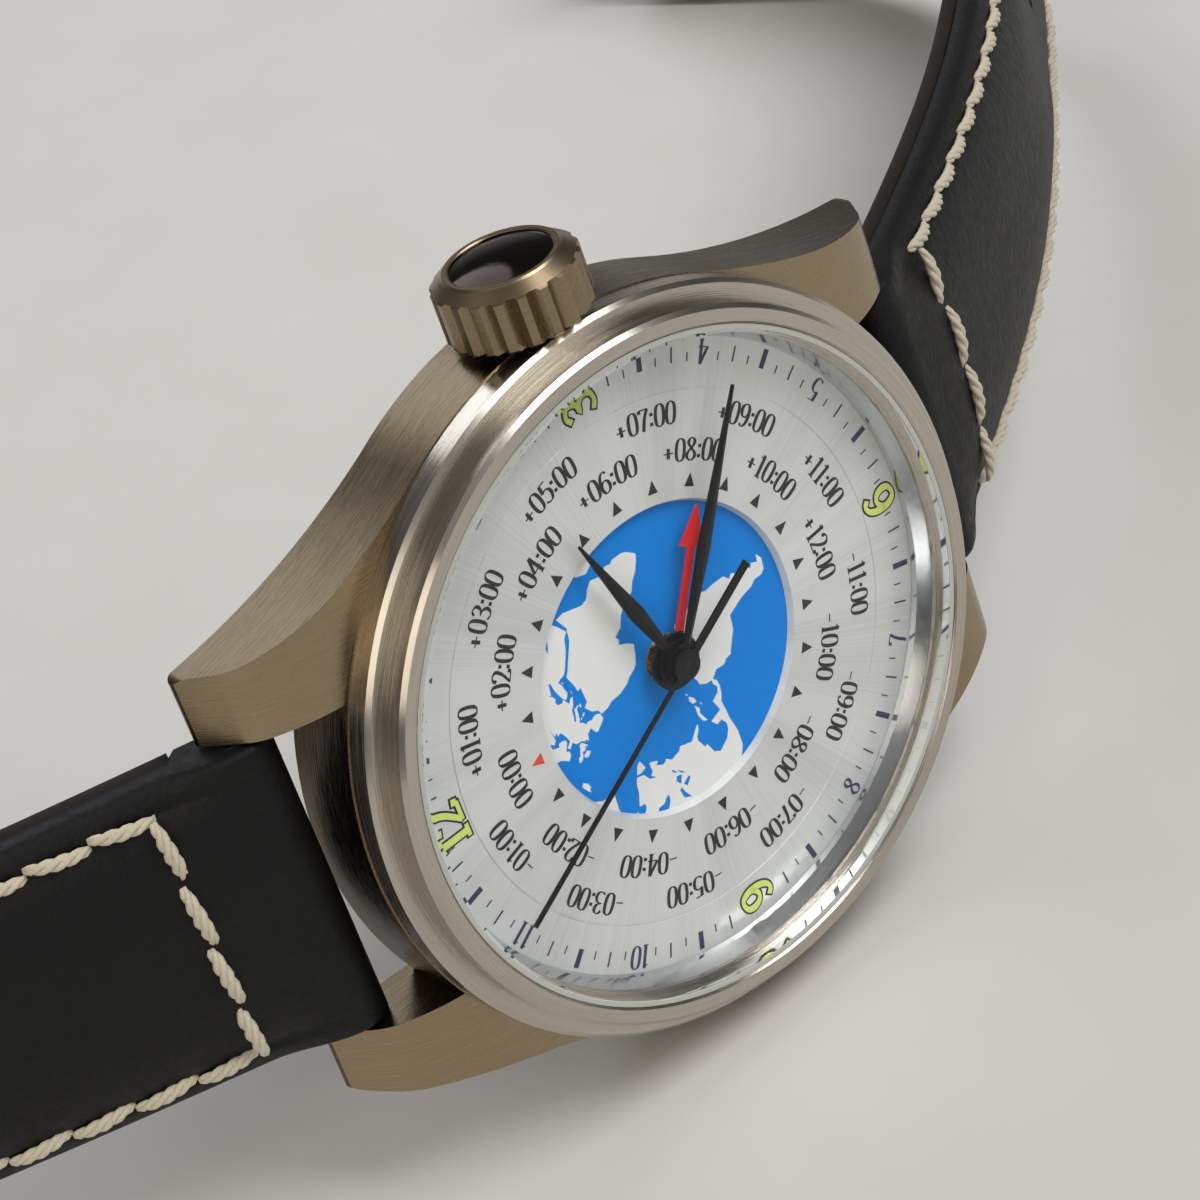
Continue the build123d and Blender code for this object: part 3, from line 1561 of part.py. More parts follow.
def all_pieces():
    return {
        "case_middle": case_middle(),
        "bezel": bezel(),
        "crystal": crystal(),
        "crystal_gasket": crystal_gasket(),
        "inner_flange": flange_ring(),
        "dial_plate": dial_plate(),
        "map_disc": map_disc(),
        "movement_ring": movement_ring(),
        "casing_clamps": casing_clamps(),
        "case_back_ring": case_back_ring(),
        "case_back_glass": case_back_glass(),
        "case_back_gasket": case_back_gasket(),
        "crown_tube": crown_tube(),
        "crown": crown(),
        "crown_gasket": crown_gasket(),
        "winding_stem": winding_stem(),
        "winding_pinion": winding_pinion(),
        "sliding_pinion": sliding_pinion(),
        "crown_wheel": crown_wheel(),
        "ratchet_wheel": ratchet_wheel(),
        "barrel_arbor": barrel_arbor(),
        "main_plate": main_plate(),
        "train_bridge": train_bridge(),
        "balance_cock": balance_cock(),
        "jewels": jewels(),
        "movement_screws": movement_screws(),
        "barrel": barrel(),
        "centre_wheel": centre_wheel(),
        "third_wheel": third_wheel(),
        "fourth_wheel": fourth_wheel(),
        "escape_wheel": escape_wheel(),
        "pallet_fork": pallet_fork(),
        "balance_wheel": balance_wheel(),
        "hairspring": hairspring(),
        "cannon_pinion": cannon_pinion(),
        "hour_wheel": hour_wheel(),
        "gmt_wheel": gmt_wheel(),
        "minute_wheel": minute_wheel(),
        "transfer_wheel": transfer_wheel(),
        "automatic_bridge": automatic_bridge(),
        "rotor_bearing": rotor_bearing(),
        "rotor_plate": rotor_plate(),
        "rotor_weight": rotor_weight(),
        "hour_hand": hour_hand(),
        "minute_hand": minute_hand(),
        "seconds_hand": seconds_hand(),
        "gmt_hand": gmt_hand(),
        "spring_bar_12": spring_bar(1),
        "spring_bar_6": spring_bar(-1),
        "spring_bar_12_tip": spring_bar_tip(1),
        "spring_bar_6_tip": spring_bar_tip(-1),
        "strap_12_upper": strap_upper_12(),
        "strap_12_lining": strap_lining_12(),
        "strap_6_upper": strap_upper_6(),
        "strap_6_lining": strap_lining_6(),
        "buckle_frame": buckle_frame(),
        "buckle_bar": buckle_bar(),
        "buckle_tongue": buckle_tongue(),
        "fixed_keeper": fixed_keeper(),
        "sliding_keeper": sliding_keeper(),
    }


# Rest pose: 3 o'clock up, 12 o'clock to -X and the dial to -Y, leaning back
def leaning():
    lean = math.radians(rest_lean)
    up = (0, math.sin(lean), math.cos(lean))
    return Plane(origin=(0, 0, 0), x_dir=up, z_dir=(0, -math.cos(lean), math.sin(lean))).location


def main():
    os.makedirs("parts", exist_ok=True)
    pieces = {name: leaning() * solid for name, solid in all_pieces().items()}
    boxes = [solid.bounding_box() for solid in pieces.values()]
    shift = Vector(
        -(min(box.min.X for box in boxes) + max(box.max.X for box in boxes)) / 2,
        -(min(box.min.Y for box in boxes) + max(box.max.Y for box in boxes)) / 2,
        -min(box.min.Z for box in boxes),
    )
    for name, solid in pieces.items():
        export_step(Location(shift) * solid, f"parts/{name}.step")
    print("dial centre in the row frame", [round(value, 4) for value in shift])
    return shift


if __name__ == "__main__":
    main()
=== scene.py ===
import json
import math
from collections import namedtuple

import bmesh
import bpy
from mathutils import Matrix, Vector


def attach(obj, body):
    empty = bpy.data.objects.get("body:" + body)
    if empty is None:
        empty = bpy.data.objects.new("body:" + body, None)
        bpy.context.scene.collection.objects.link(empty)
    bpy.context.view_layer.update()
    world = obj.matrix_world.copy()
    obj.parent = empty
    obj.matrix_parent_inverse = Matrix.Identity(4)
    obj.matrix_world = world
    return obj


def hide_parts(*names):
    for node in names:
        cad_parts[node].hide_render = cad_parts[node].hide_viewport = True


bl_info = {
    "name": "World time watch",
    "version": (1, 0, 0),
    "blender": (4, 5, 0),
    "location": "3D View > Sidebar > Watch",
    "description": "Dresses the solid watch with its leather strap, dial print and finishes",
    "category": "Object",
}

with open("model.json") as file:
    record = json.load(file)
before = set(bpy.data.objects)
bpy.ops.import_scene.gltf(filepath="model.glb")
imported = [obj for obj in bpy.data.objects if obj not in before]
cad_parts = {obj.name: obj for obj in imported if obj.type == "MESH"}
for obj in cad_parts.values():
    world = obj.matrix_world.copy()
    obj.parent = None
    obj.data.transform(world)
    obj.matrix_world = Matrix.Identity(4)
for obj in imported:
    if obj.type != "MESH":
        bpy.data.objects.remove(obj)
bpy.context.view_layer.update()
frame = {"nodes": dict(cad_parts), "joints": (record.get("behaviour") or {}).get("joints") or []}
MM = 0.001

# The watch's own directions: right is 3 o'clock, up is 12 o'clock and out points through the crystal.
JOINTS = {joint["name"]: joint for joint in frame["joints"]}
CENTRE = Vector(JOINTS["seconds_turn"]["pos_m"])
OUT = -Vector(JOINTS["seconds_turn"]["axis"]).normalized()
RIGHT = Vector(JOINTS["crown_turn"]["axis"]).normalized()
UP = OUT.cross(RIGHT)
WATCH = Matrix.Translation(CENTRE) @ Matrix((RIGHT, UP, OUT)).transposed().to_4x4() @ Matrix.Scale(MM, 4)

# Strap halves: body, heading at the spring bar, length and turn in degrees of each stretch of the path, side
# of the case (1 at 12 and -1 at 6), whether the end is a rounded tip, and where the stitches end.
BAR_PLACE = (24.40, -4.60)
Half = namedtuple("Half", "body heading stretches side rounded stitched_to")
STRAP_12 = Half("strap_12", 22.0, ((28.0, 4.0), (20.0, 66.0), (25.0, 0.0)), 1, False, 60.0)
STRAP_6 = Half("strap_6", 30.0, ((20.0, 4.0), (20.0, 7.0), (28.0, 4.0), (30.0, 72.0), (18.0, 6.0)), -1, True, 104.0)
# Strap sizes in mm. Pairs hold the size near the lugs and in the thin end.
STRAP_WIDTH, STRAP_TAPER = 19.6, 1.6
PAD_END, THIN_END = 36.0, 60.0
ABOVE, BELOW, SLOPE, EDGE = (2.45, 1.35), (1.90, 1.15), (3.6, 0.8), (0.70, 1.00)
EDGE_AT_BAR, LOOP_FADE = 1.80, 5.0
LOOP_RADIUS, LOOP_END, BAR_ROWS = 2.10, 3.4, 8
BUCKLE_LOOP, SLOT_LENGTH = 1.65, 3.2
LINING, LINING_GAP = 1.00, 0.03
UPPER_STEP, LINING_STEP = 0.75, 0.9
TIP, TIP_WIDTH, TIP_ROWS = 9.0, 0.36, 14
# The upper's rolled edge and the groove of its seam: distance from the edge and share of the padding's rise.
SEAM = ((0.42, 0.06), (0.80, 0.16), (1.12, 0.26), (1.32, 0.23), (1.52, 0.22), (1.72, 0.28), (2.05, 0.44))
HOLE_FIRST, HOLE_PITCH, HOLE_COUNT, HOLE_RADIUS = 20.0, 6.5, 7, 1.05
KEEPER_PLACES = {"fixed_keeper": 66.0, "sliding_keeper": 56.0}
# The place whose strap width the keepers are made for, and the room left round the strap.
KEEPER_FIT, KEEPER_ROOM = 51.0, 0.35
# Half of a keeper's section along the strap: distance from its end and depth under its face.
KEEPER_PROFILE = ((0.0, 0.30), (0.10, 0.08), (0.35, 0.0), (0.62, 0.0), (0.74, 0.09), (0.86, 0.0))
STITCH_LENGTH, STITCH_THICK, STITCH_TURNS = 3.35, 0.46, 1.45
STITCH_FIRST, STITCH_INSET, STITCH_SLANT, STITCH_LIFT = 5.4, 1.5, 0.10, 0.06
# Each stitch is this share of the pitch long, so that it reaches into the next.
STITCH_REACH, STITCHES_ACROSS = 1.03, 4

# The polished dome in the crown's end, darkened with a painted reflection: its radius, and its distance from the
# dial's centre. The hub of the hands.
DOME_RADIUS, DOME_FROM = 2.98, 25.30
HAND_HUB = 1.75
# Brush lines in a millimetre, and how squarely a face must look outwards to be brushed as a lug's top.
BRUSH_LINES, TOP_FACING = 17.0, 0.45
# In the photo the flank is darker than the lug tops, probably because it mirrors a darker room. Nothing shows
# that the steel differs there: these shares of the steel's colour are chosen to give that look here.
FLANK_PAINTED_SHADE, LUG_TOP_PAINTED_LIGHT = 0.55, 1.25
# The map's face and rim, the thickness of its printed land and the steps between two points of a coast.
MAP_TOP, MAP_RADIUS, LAND_HEIGHT, COAST_STEPS = -0.43, 9.2, 0.012, 4
# Tubes that stand above this height, in mm, are blackened like the hands on them.
BLACKENED_ABOVE = MAP_TOP

# The crystal's own sizes: its edge, the rim of its dome, the hollow under it and the heights of each.
GLASS_RADIUS, GLASS_RIM, GLASS_HOLLOW = 19.25, 19.13, 18.90
GLASS_SEAT, GLASS_TOP, GLASS_RISE, GLASS_HOLLOW_RISE = 1.50, 3.05, 0.85, 0.75
GLASS_RINGS, GLASS_STEPS = 24, 128
GLASS_INDEX = 1.20

# The camera's place and directions in the watch's millimetres, solved from the photograph's outline.
CAMERA_PLACE = Vector((114.171, 99.248, 161.31))
CAMERA_RIGHT, CAMERA_UP = Vector((-0.30071, -0.71588, 0.63015)), Vector((0.81254, -0.53826, -0.22373))
CAMERA_LENS = 117.878
# Lamps: name, place, size in metres, power in watts and colour. The sky: height, from 0 at the horizon to 1
# straight up, and brightness.
LAMPS = (
    ("key_lamp", (0.30, -0.35, 0.75), 0.55, 3.9, "#FFFFFF"),
    ("fill_lamp", (-0.55, -0.30, 0.40), 0.50, 1.3, "#FFF6EA"),
    ("back_lamp", (0.10, 0.55, 0.45), 0.40, 1.0, "#F4F8FF"),
)
LAMP_AIM = Vector((0, 0, 0.02))
SKY = ((0.0, 0.34), (0.22, 0.10), (0.55, 0.14), (0.80, 0.46), (1.0, 0.20))

# Approximate coasts and big lakes, as longitude and latitude pairs in degrees.
COASTS = {
    "north_america": (-96, 73, -92, 70, -86, 69.5, -82, 67, -86, 66, -88, 64, -93, 61, -95, 58.8, -92.5, 57, -88,
        56.5, -82.5, 55.2, -82, 52.8, -80, 51.2, -79, 51.7, -79, 54.5, -76.8, 57, -78.3, 59, -77.5, 62.4, -73.5,
        62.3, -70, 61, -69.5, 59, -67.5, 58.3, -65, 60.2, -61.5, 56.5, -58, 54.5, -56, 52.3, -60, 50.2, -65, 50.3,
        -69, 48.6, -65, 49.2, -65, 47.6, -61, 46, -61, 45.3, -65.5, 43.6, -66, 45.2, -70, 43.7, -70.6, 42.2, -70,
        41.7, -74, 40.7, -75.5, 38, -76.3, 37, -75.6, 35.3, -78, 33.9, -81.2, 31.6, -80.2, 26.5, -80.5, 25.2, -82.2,
        27, -82.8, 29, -84.2, 30.1, -89.5, 30.2, -89.3, 29.1, -94.5, 29.5, -97.2, 27.8, -97.8, 22.5, -96.3, 19.4,
        -94.5, 18.2, -91.5, 18.5, -90.4, 21, -87, 21.5, -88.3, 17.5, -88.8, 15.8, -83.3, 15, -83.7, 11, -82, 9.2,
        -79.6, 9.5, -77.2, 8.4, -78.2, 7.8, -80.2, 7.3, -83, 8.3, -85.8, 10.5, -87.6, 13, -92, 14.6, -95, 16, -101,
        17.5, -105.5, 20.3, -110, 30, -110, 50, -105, 65),
    "superior": (-92, 46.8, -88.5, 48.8, -85, 47.9, -84.8, 46.5, -88, 47),
    "michigan": (-87.6, 41.8, -86.3, 42, -85.5, 45.3, -87.8, 44.8),
    "huron": (-82.5, 43, -80.2, 44.6, -81, 46, -84.2, 45.8, -83.3, 44),
    "erie": (-83.4, 41.6, -79, 42.8, -81.2, 42.8, -83, 42.3),
    "ontario": (-79.7, 43.3, -76.3, 43.5, -76.5, 44.2, -79, 43.9),
    "baffin": (-65, 62, -70, 63, -78, 64.5, -73, 66, -78, 70, -88, 71, -88, 73.5, -80, 73.7, -68, 70.4, -62, 67,
        -67, 65, -64, 64),
    "newfoundland": (-59.3, 47.7, -53.4, 46.7, -53.2, 48.7, -55.6, 51.5, -57.8, 50),
    "greenland": (-43.5, 60, -41, 63, -37, 65.5, -25, 69.5, -20, 74, -20, 80, -40, 83, -62, 80, -68, 76, -56, 72,
        -51, 69, -53.5, 66.5, -51, 63, -47, 61),
    "iceland": (-22.6, 63.9, -18.5, 63.4, -14.2, 64.6, -15, 66.2, -20, 66, -24.2, 65.5, -22, 64.6),
    "britain": (-5.6, 50.1, -1, 50.6, 1.3, 51.2, 1.7, 52.7, 0, 53.4, -1.6, 55.3, -3, 56, -1.9, 57.5, -4, 57.8, -3.2,
        58.6, -5, 58.5, -6, 56.8, -4.8, 54.8, -3, 54.2, -4.5, 53, -4.4, 52, -5.2, 51.8, -2.8, 51.4, -4.5, 51),
    "ireland": (-6.2, 53.6, -6.4, 52.2, -10, 51.6, -9.8, 54.2, -7.3, 55.3, -5.6, 54.6),
    "eurasia": (-9.4, 38.7, -8.8, 37, -6.2, 36.7, -5.5, 36, -2, 36.8, 0, 38.7, 0, 40, 3.2, 41.9, 3.1, 43.2, 6.5,
        43.1, 9, 44.3, 10.4, 43, 12.3, 41.7, 15.7, 40, 16.1, 38, 17, 39, 16.9, 40.5, 18.4, 40.2, 15.9, 41.8, 13.6,
        43.6, 12.4, 44.8, 13.6, 45.6, 15.5, 43.9, 19.3, 41.9, 19.6, 40, 21.3, 38, 22.8, 36.5, 23.8, 38, 22.8, 40.4,
        26, 40.8, 28.8, 41.1, 28, 42.8, 30.5, 45.8, 33, 46, 33.6, 44.5, 36.4, 45.2, 38.5, 47.2, 37.4, 45.2, 41.4,
        42.5, 41, 41, 36, 41.6, 31.5, 41.3, 29.2, 41, 26.5, 40.1, 26.6, 38.2, 27.8, 36.8, 30.6, 36.7, 33, 36.1, 36,
        36.7, 35.8, 34.5, 34.5, 31.3, 34.9, 29.6, 37, 25.3, 39.2, 21, 42.8, 16.5, 43.4, 12.8, 49, 14.2, 55.2, 17.4,
        58.6, 20.6, 59.8, 22.5, 56.6, 24.5, 56.3, 26.2, 54, 24.2, 51.5, 24.8, 50, 26.8, 48.3, 29.9, 50.8, 29, 53.5,
        26.8, 57, 27, 61.5, 25.2, 64, 28, 68, 40, 70, 55, 68, 69, 60, 69.5, 54, 68.6, 46, 67.5, 44, 66, 40, 64.6,
        35, 64.2, 40.5, 66.4, 41, 67.3, 33, 69.5, 28, 71, 23, 70.4, 15, 68.4, 12, 65, 9, 63.3, 5, 61.5, 5.6, 58.8,
        8, 58.1, 10.6, 59.4, 12.8, 56, 14.3, 55.5, 16.4, 56.8, 18.8, 59.8, 17.3, 61, 22, 65.6, 25, 65, 21.5, 62.5,
        22.5, 60.1, 29.5, 60, 23.5, 59.2, 24.3, 57.2, 21.5, 57.5, 21, 55.3, 18.6, 54.5, 14.5, 54, 10.8, 54.2, 10.6,
        57.6, 8.2, 57, 8.5, 53.8, 4.8, 53, 1.6, 50.4, -1.6, 49.5, -1.6, 48.6, -4.7, 48.3, -1.6, 46.3, -1.7, 43.4,
        -8, 43.7, -9.2, 43),
    "caspian": (47.5, 45, 51.5, 46.8, 53, 45.2, 50.8, 44.4, 53.2, 41.5, 53.8, 37.3, 49.6, 37.5, 49.4, 40.3, 47.5,
        43),
    "africa": (-6, 35.8, -2, 35.2, 3, 36.9, 10.2, 37.2, 10.5, 34.3, 15.2, 32.4, 20, 30.6, 20.5, 32.7, 25, 31.6,
        32.3, 31.2, 33, 28.5, 35.5, 24, 37.3, 20, 39.5, 15.4, 43.2, 12.2, 43.6, 11.3, 51.1, 11.9, 49, 6.5, 44.5,
        1.5, 40.3, -2.6, 39, -6.5, 40.6, -11, 40.6, -15, 35, -19.8, 35.5, -24, 32.8, -26, 32.4, -28.5, 28.5, -32.7,
        25.7, -34, 19.8, -34.8, 18.2, -33, 15.2, -27, 14.3, -22, 11.8, -17.5, 13.7, -11.5, 12.2, -5.8, 8.9, -1, 9.7,
        3.5, 6, 4.3, 4.3, 6.3, -2, 4.8, -7.6, 4.4, -13.2, 9, -16.8, 12.5, -17.4, 14.7, -16.2, 18.5, -17, 21, -14.5,
        26, -9.8, 29.7, -9.2, 32.6),
    "madagascar": (49.3, -12, 50.4, -15.6, 47.3, -24.8, 44.5, -25, 43.4, -22, 44.4, -16.5),
    "south_america": (-77.4, 8.6, -75.4, 10.8, -71.7, 12.3, -70, 11.6, -62, 10.7, -57.5, 6.3, -51.7, 4.4, -50, 0.5,
        -44, -2.6, -39, -3.1, -35.2, -5.3, -35, -9, -39, -13.5, -39.4, -18, -41.5, -22.3, -46, -24, -48.7, -28,
        -53.5, -33.8, -58.3, -34.1, -57.4, -37, -62.2, -39, -65, -41.2, -63.8, -42.7, -67.5, -46, -66, -48, -69,
        -51.5, -65.8, -54.7, -70, -55.4, -74.5, -51, -75, -46.7, -73, -41.7, -73.5, -37.3, -71.5, -30, -70.2, -19,
        -76, -14.5, -79.7, -7.2, -81.2, -4.8, -79.9, -2.2, -80.3, 0.3, -77.3, 4, -77.9, 7.3),
    "cuba": (-84.8, 21.9, -82.5, 23.1, -79, 22.6, -74.3, 20.2, -77.6, 19.9, -79, 21.4),
    "hispaniola": (-74.4, 18.4, -73, 19.9, -69.9, 19.7, -68.4, 18.4, -71.5, 17.8),
    "puerto_rico": (-67.2, 18.4, -65.7, 18.4, -65.9, 17.9, -67.2, 17.9),
    "jamaica": (-78.3, 18.4, -76.3, 18.1, -77.2, 17.8),
    "sicily": (12.5, 38, 15.6, 38.2, 15.1, 36.7),
    "sardinia": (8.3, 40.8, 9.7, 40.9, 9.4, 39.1, 8.5, 39),
    "corsica": (8.7, 42.6, 9.5, 42.9, 9.3, 41.4, 8.7, 41.6),
    "crete": (23.6, 35.5, 26.2, 35.2, 24.8, 34.9),
    "cyprus": (32.4, 35, 34.5, 35.6, 33.5, 34.7),
}
LAKES = {"north_america": ("superior", "michigan", "huron", "erie", "ontario"), "eurasia": ("caspian",)}
# The printed map's place in mm from longitude and latitude: terms 1, a, b, aa, ab, bb, aaa, aab, abb, bbb
# of a = longitude / 60 and b = latitude / 60, fitted to where known capes, gulfs and islands lie on the dial.
MAP_LAYOUT = (
    (2.874, 3.532, -4.696, 0.991, 0.269, -0.143, 1.125, 0.231, 0.966, 0.091),
    (1.67, 3.782, 6.371, -0.058, -1.252, 0.192, 0.01, -0.633, -0.606, -0.339),
)

# Dial print: the width and the pen strokes of each sign, in hundredths of its height.
SIGNS = {
    "0": (52, ((26, 97, 41, 85, 45, 50, 41, 15, 26, 3, 11, 15, 7, 50, 11, 85, 26, 97),)),
    "1": (42, ((22, 2, 22, 97), (22, 97, 17, 88, 7, 84), (9, 2, 35, 2))),
    "2": (50, ((7, 74, 11, 90, 25, 97, 40, 88, 42, 72, 34, 48, 18, 22, 6, 5), (5, 5, 45, 5), (45, 5, 47, 20))),
    "3": (50, ((7, 84, 20, 97, 37, 90, 40, 74, 32, 58, 17, 53, 34, 48, 44, 30, 38, 10, 22, 3, 6, 12),)),
    "4": (52, ((36, 2, 36, 97), (36, 97, 20, 63, 4, 30), (4, 30, 50, 30), (25, 2, 46, 2))),
    "5": (50, ((13, 94, 42, 96), (13, 95, 11, 55), (11, 55, 26, 62, 41, 52, 44, 30, 36, 8, 20, 3, 5, 12))),
    "6": (52, (
        (42, 87, 30, 97, 16, 86, 8, 60, 8, 28, 16, 7, 27, 3, 41, 12, 45, 31, 39, 51, 26, 58, 13, 48, 8, 36),)),
    "7": (48, ((6, 80, 7, 94), (6, 94, 45, 94), (45, 94, 30, 55, 21, 2))),
    "8": (52, (
        (26, 97, 38, 89, 39, 73, 26, 54, 11, 37, 8, 18, 26, 3, 44, 18, 41, 37, 26, 54, 12, 73, 14, 89, 26, 97),)),
    "9": (52, (
        (10, 13, 22, 3, 36, 14, 44, 40, 44, 72, 36, 93, 25, 97, 11, 88, 7, 69, 13, 49, 26, 42, 39, 52, 44, 64),)),
    "+": (62, ((10, 42, 52, 42), (31, 20, 31, 64))),
    "-": (50, ((10, 42, 42, 42),)),
    ":": (26, ((13, 14, 13, 28), (13, 56, 13, 70))),
}
INK_HEIGHT = 0.02
CURVE_STEPS = 4
DIVISIONS = 96
# Name, length and width of the ticks by their place between two hours, and of all others.
TICKS = {4: ("ticks_bold", 1.12, 0.34), 2: ("ticks_long", 0.90, 0.10), 6: ("ticks_long", 0.90, 0.10)}
SHORT_TICK = ("ticks_short", 0.50, 0.075)
TICK_FOOT = 17.05
# Width, foot and tip of a triangle.
TRIANGLE, TRIANGLE_12 = (0.70, 9.93, 10.72), (0.74, 9.93, 10.75)
# Height of a sign, its width's share of that, and its thick and thin lines.
HOUR_PEN, GLOW_PEN, OFFSET_PEN = (1.45, 1.0, 0.20, 0.06), (2.25, 1.35, 0.42, 0.26), (1.36, 1.12, 0.215, 0.07)
HOUR_RADIUS, GLOW_RADII, OFFSET_RADII = 17.5, {12: 16.95, 3: 16.9, 6: 16.95, 9: 17.0}, (12.05, 14.28)
GLOW_HEIGHT, OUTLINE_GROW = 0.05, 0.12


def linear(code):
    """Turns an sRGB hex colour into the linear colour that shaders take; a linear colour only gets its alpha."""
    if not isinstance(code, str):
        return (*code, 1.0)
    parts = [int(code[i:i + 2], 16) / 255 for i in (1, 3, 5)]
    return tuple(c / 12.92 if c <= 0.04045 else ((c + 0.055) / 1.055) ** 2.4 for c in parts) + (1.0,)


def shaded(code, share, lift=0.0):
    """A colour made darker or lighter."""
    return tuple(min(1.0, c * share + lift) for c in linear(code)[:3]) + (1.0,)


def grey(value):
    return (value, value, value, 1.0)


# ---------------------------------------------------------------- shader nodes
def add(tree, kind, inputs=None, **settings):
    """Adds one shader node; inputs gives each socket a value or another node's output."""
    made = tree.nodes.new(kind)
    for name, value in settings.items():
        setattr(made, name, value)
    for name, value in (inputs or {}).items():
        if isinstance(value, bpy.types.NodeSocket):
            tree.links.new(value, made.inputs[name])
        else:
            made.inputs[name].default_value = value
    return made


def maths(tree, kind, *values):
    return add(tree, "ShaderNodeMath", dict(enumerate(values)), operation=kind).outputs[0]


def vectors(tree, kind, *values):
    made = add(tree, "ShaderNodeVectorMath", dict(enumerate(values)), operation=kind)
    return made.outputs["Value" if kind in ("LENGTH", "DOT_PRODUCT") else "Vector"]


def scaled(tree, vector, share):
    return add(tree, "ShaderNodeVectorMath", {0: vector, "Scale": share}, operation="SCALE").outputs[0]


def noise(tree, place, scale, detail=2.0, roughness=0.5):
    """Soft noise with a number of spots per millimetre."""
    made = add(tree, "ShaderNodeTexNoise", {
        "Vector": place, "Scale": scale, "Detail": detail, "Roughness": roughness,
    })
    return made.outputs["Fac"]


def blend(tree, share, first, second):
    return add(tree, "ShaderNodeMixRGB", {"Fac": share, "Color1": first, "Color2": second}).outputs[0]


def spread(tree, value, low, high, start=0.0, end=1.0):
    """Turns a value between start and end into one between low and high."""
    return add(tree, "ShaderNodeMapRange", {
        "Value": value, "From Min": start, "From Max": end, "To Min": low, "To Max": high,
    }).outputs[0]


def relief(tree, height, strength, distance):
    """A raised pattern; distance is its depth in metres."""
    return add(tree, "ShaderNodeBump", {
        "Height": height, "Strength": strength, "Distance": distance,
    }).outputs[0]


def component(tree, vector, index):
    return add(tree, "ShaderNodeSeparateXYZ", {0: vector}).outputs[index]


def flat_radius(tree, place):
    """Distance from the dial's axis in mm."""
    return vectors(tree, "LENGTH", vectors(tree, "MULTIPLY", place, (1.0, 1.0, 0.0)))


def ramp(tree, factor, stops):
    """A colour ramp through the given places and colours."""
    made = add(tree, "ShaderNodeValToRGB", {"Fac": factor})
    for element, (place, colour) in zip(made.color_ramp.elements, (stops[0], stops[-1])):
        element.position, element.color = place, colour
    for place, colour in stops[1:-1]:
        made.color_ramp.elements.new(place).color = colour
    return made.outputs["Color"]


def start_material(name):
    """An empty node material, and the watch's own millimetre coordinates read from the object's."""
    made = bpy.data.materials.new(name)
    made.use_nodes = True
    made.node_tree.nodes.clear()
    tree = made.node_tree
    coordinates = add(tree, "ShaderNodeTexCoord")
    turned = add(tree, "ShaderNodeMapping", {
        "Vector": coordinates.outputs["Object"],
        "Location": CENTRE,
        "Rotation": WATCH.to_euler(),
        "Scale": (MM, MM, MM),
    }, vector_type="TEXTURE")
    return made, tree, turned.outputs["Vector"]


def close_material(tree, **inputs):
    """Adds the shader and the material's output. An underscore in an input's name stands for a space."""
    named = {name.replace("_", " "): value for name, value in inputs.items()}
    shader = add(tree, "ShaderNodeBsdfPrincipled", named)
    add(tree, "ShaderNodeOutputMaterial", {"Surface": shader.outputs[0]})


def from_centre(tree):
    """Offset of the shaded point from the dial's centre in the row frame."""
    place = add(tree, "ShaderNodeNewGeometry").outputs["Position"]
    return vectors(tree, "SUBTRACT", place, CENTRE)


def across_rings(tree):
    """Direction across lines that run round the dial's centre: outwards on a flat, down on a side."""
    offset = from_centre(tree)
    raised = scaled(tree, OUT, vectors(tree, "DOT_PRODUCT", offset, OUT))
    flat = vectors(tree, "NORMALIZE", vectors(tree, "SUBTRACT", offset, raised))
    return vectors(tree, "SUBTRACT", flat, OUT)


def round_centre(tree):
    """Direction round the dial's centre, which is across the lines of a sunray brush."""
    return vectors(tree, "CROSS_PRODUCT", OUT, from_centre(tree))


# ---------------------------------------------------------------- materials
def brushed_steel(name, colour, lines, roughness, anisotropy, depth):
    """Stainless steel, brushed. The lines give soft streaks across the light and a satin glow.
    Brush lines are about 0.03 mm apart; they are drawn 0.06 mm apart so that they show. They
    run round the flank and from 6 to 12 o'clock on the lugs ("round"), round the dial's axis ("rings")
    or from 9 to 3 o'clock ("along_right")."""
    made, tree, place = start_material(name)
    tangent = across_rings(tree)
    if lines == "rings":
        around = vectors(tree, "MULTIPLY", vectors(tree, "NORMALIZE", place), (3.0, 3.0, 0.0))
        lift = maths(tree, "MULTIPLY", flat_radius(tree, place), 15.0)
        lift = maths(tree, "MULTIPLY_ADD", component(tree, place, 2), 14.0, lift)
        step = add(tree, "ShaderNodeCombineXYZ", {2: lift}).outputs[0]
        vector = vectors(tree, "ADD", around, step)
    elif lines == "along_right":
        vector = vectors(tree, "MULTIPLY", place, (0.30, BRUSH_LINES, BRUSH_LINES))
    else:
        normal = add(tree, "ShaderNodeNewGeometry").outputs["Normal"]
        facing = maths(tree, "ABSOLUTE", vectors(tree, "DOT_PRODUCT", normal, OUT))
        facing = maths(tree, "GREATER_THAN", facing, TOP_FACING)
        side = vectors(tree, "MULTIPLY", place, (0.30, 0.30, BRUSH_LINES))
        top = vectors(tree, "MULTIPLY", place, (BRUSH_LINES, 0.35, 0.35))
        vector = blend(tree, facing, side, top)
        tangent = blend(tree, facing, (*OUT, 1.0), (*RIGHT, 1.0))
    streak = noise(tree, vector, 1.0)
    cloud = noise(tree, place, 0.35)
    shade = blend(tree, streak, shaded(colour, 0.74), shaded(colour, 1.18))
    # Painted shade and light: the flank's colour is darkened and the lug tops' colour lightened, standing in for the
    # darker room that the flank mirrors.
    if lines == "round":
        shade = scaled(tree, shade, spread(tree, facing, FLANK_PAINTED_SHADE, LUG_TOP_PAINTED_LIGHT))
    rough = spread(tree, streak, roughness - 0.07, roughness + 0.10, 0.25, 0.75)
    close_material(
        tree, Base_Color=shade, Metallic=1.0, Roughness=maths(tree, "MULTIPLY_ADD", cloud, 0.06, rough),
        Normal=relief(tree, streak, depth, 0.00003), Anisotropic=anisotropy, Tangent=tangent)
    return made


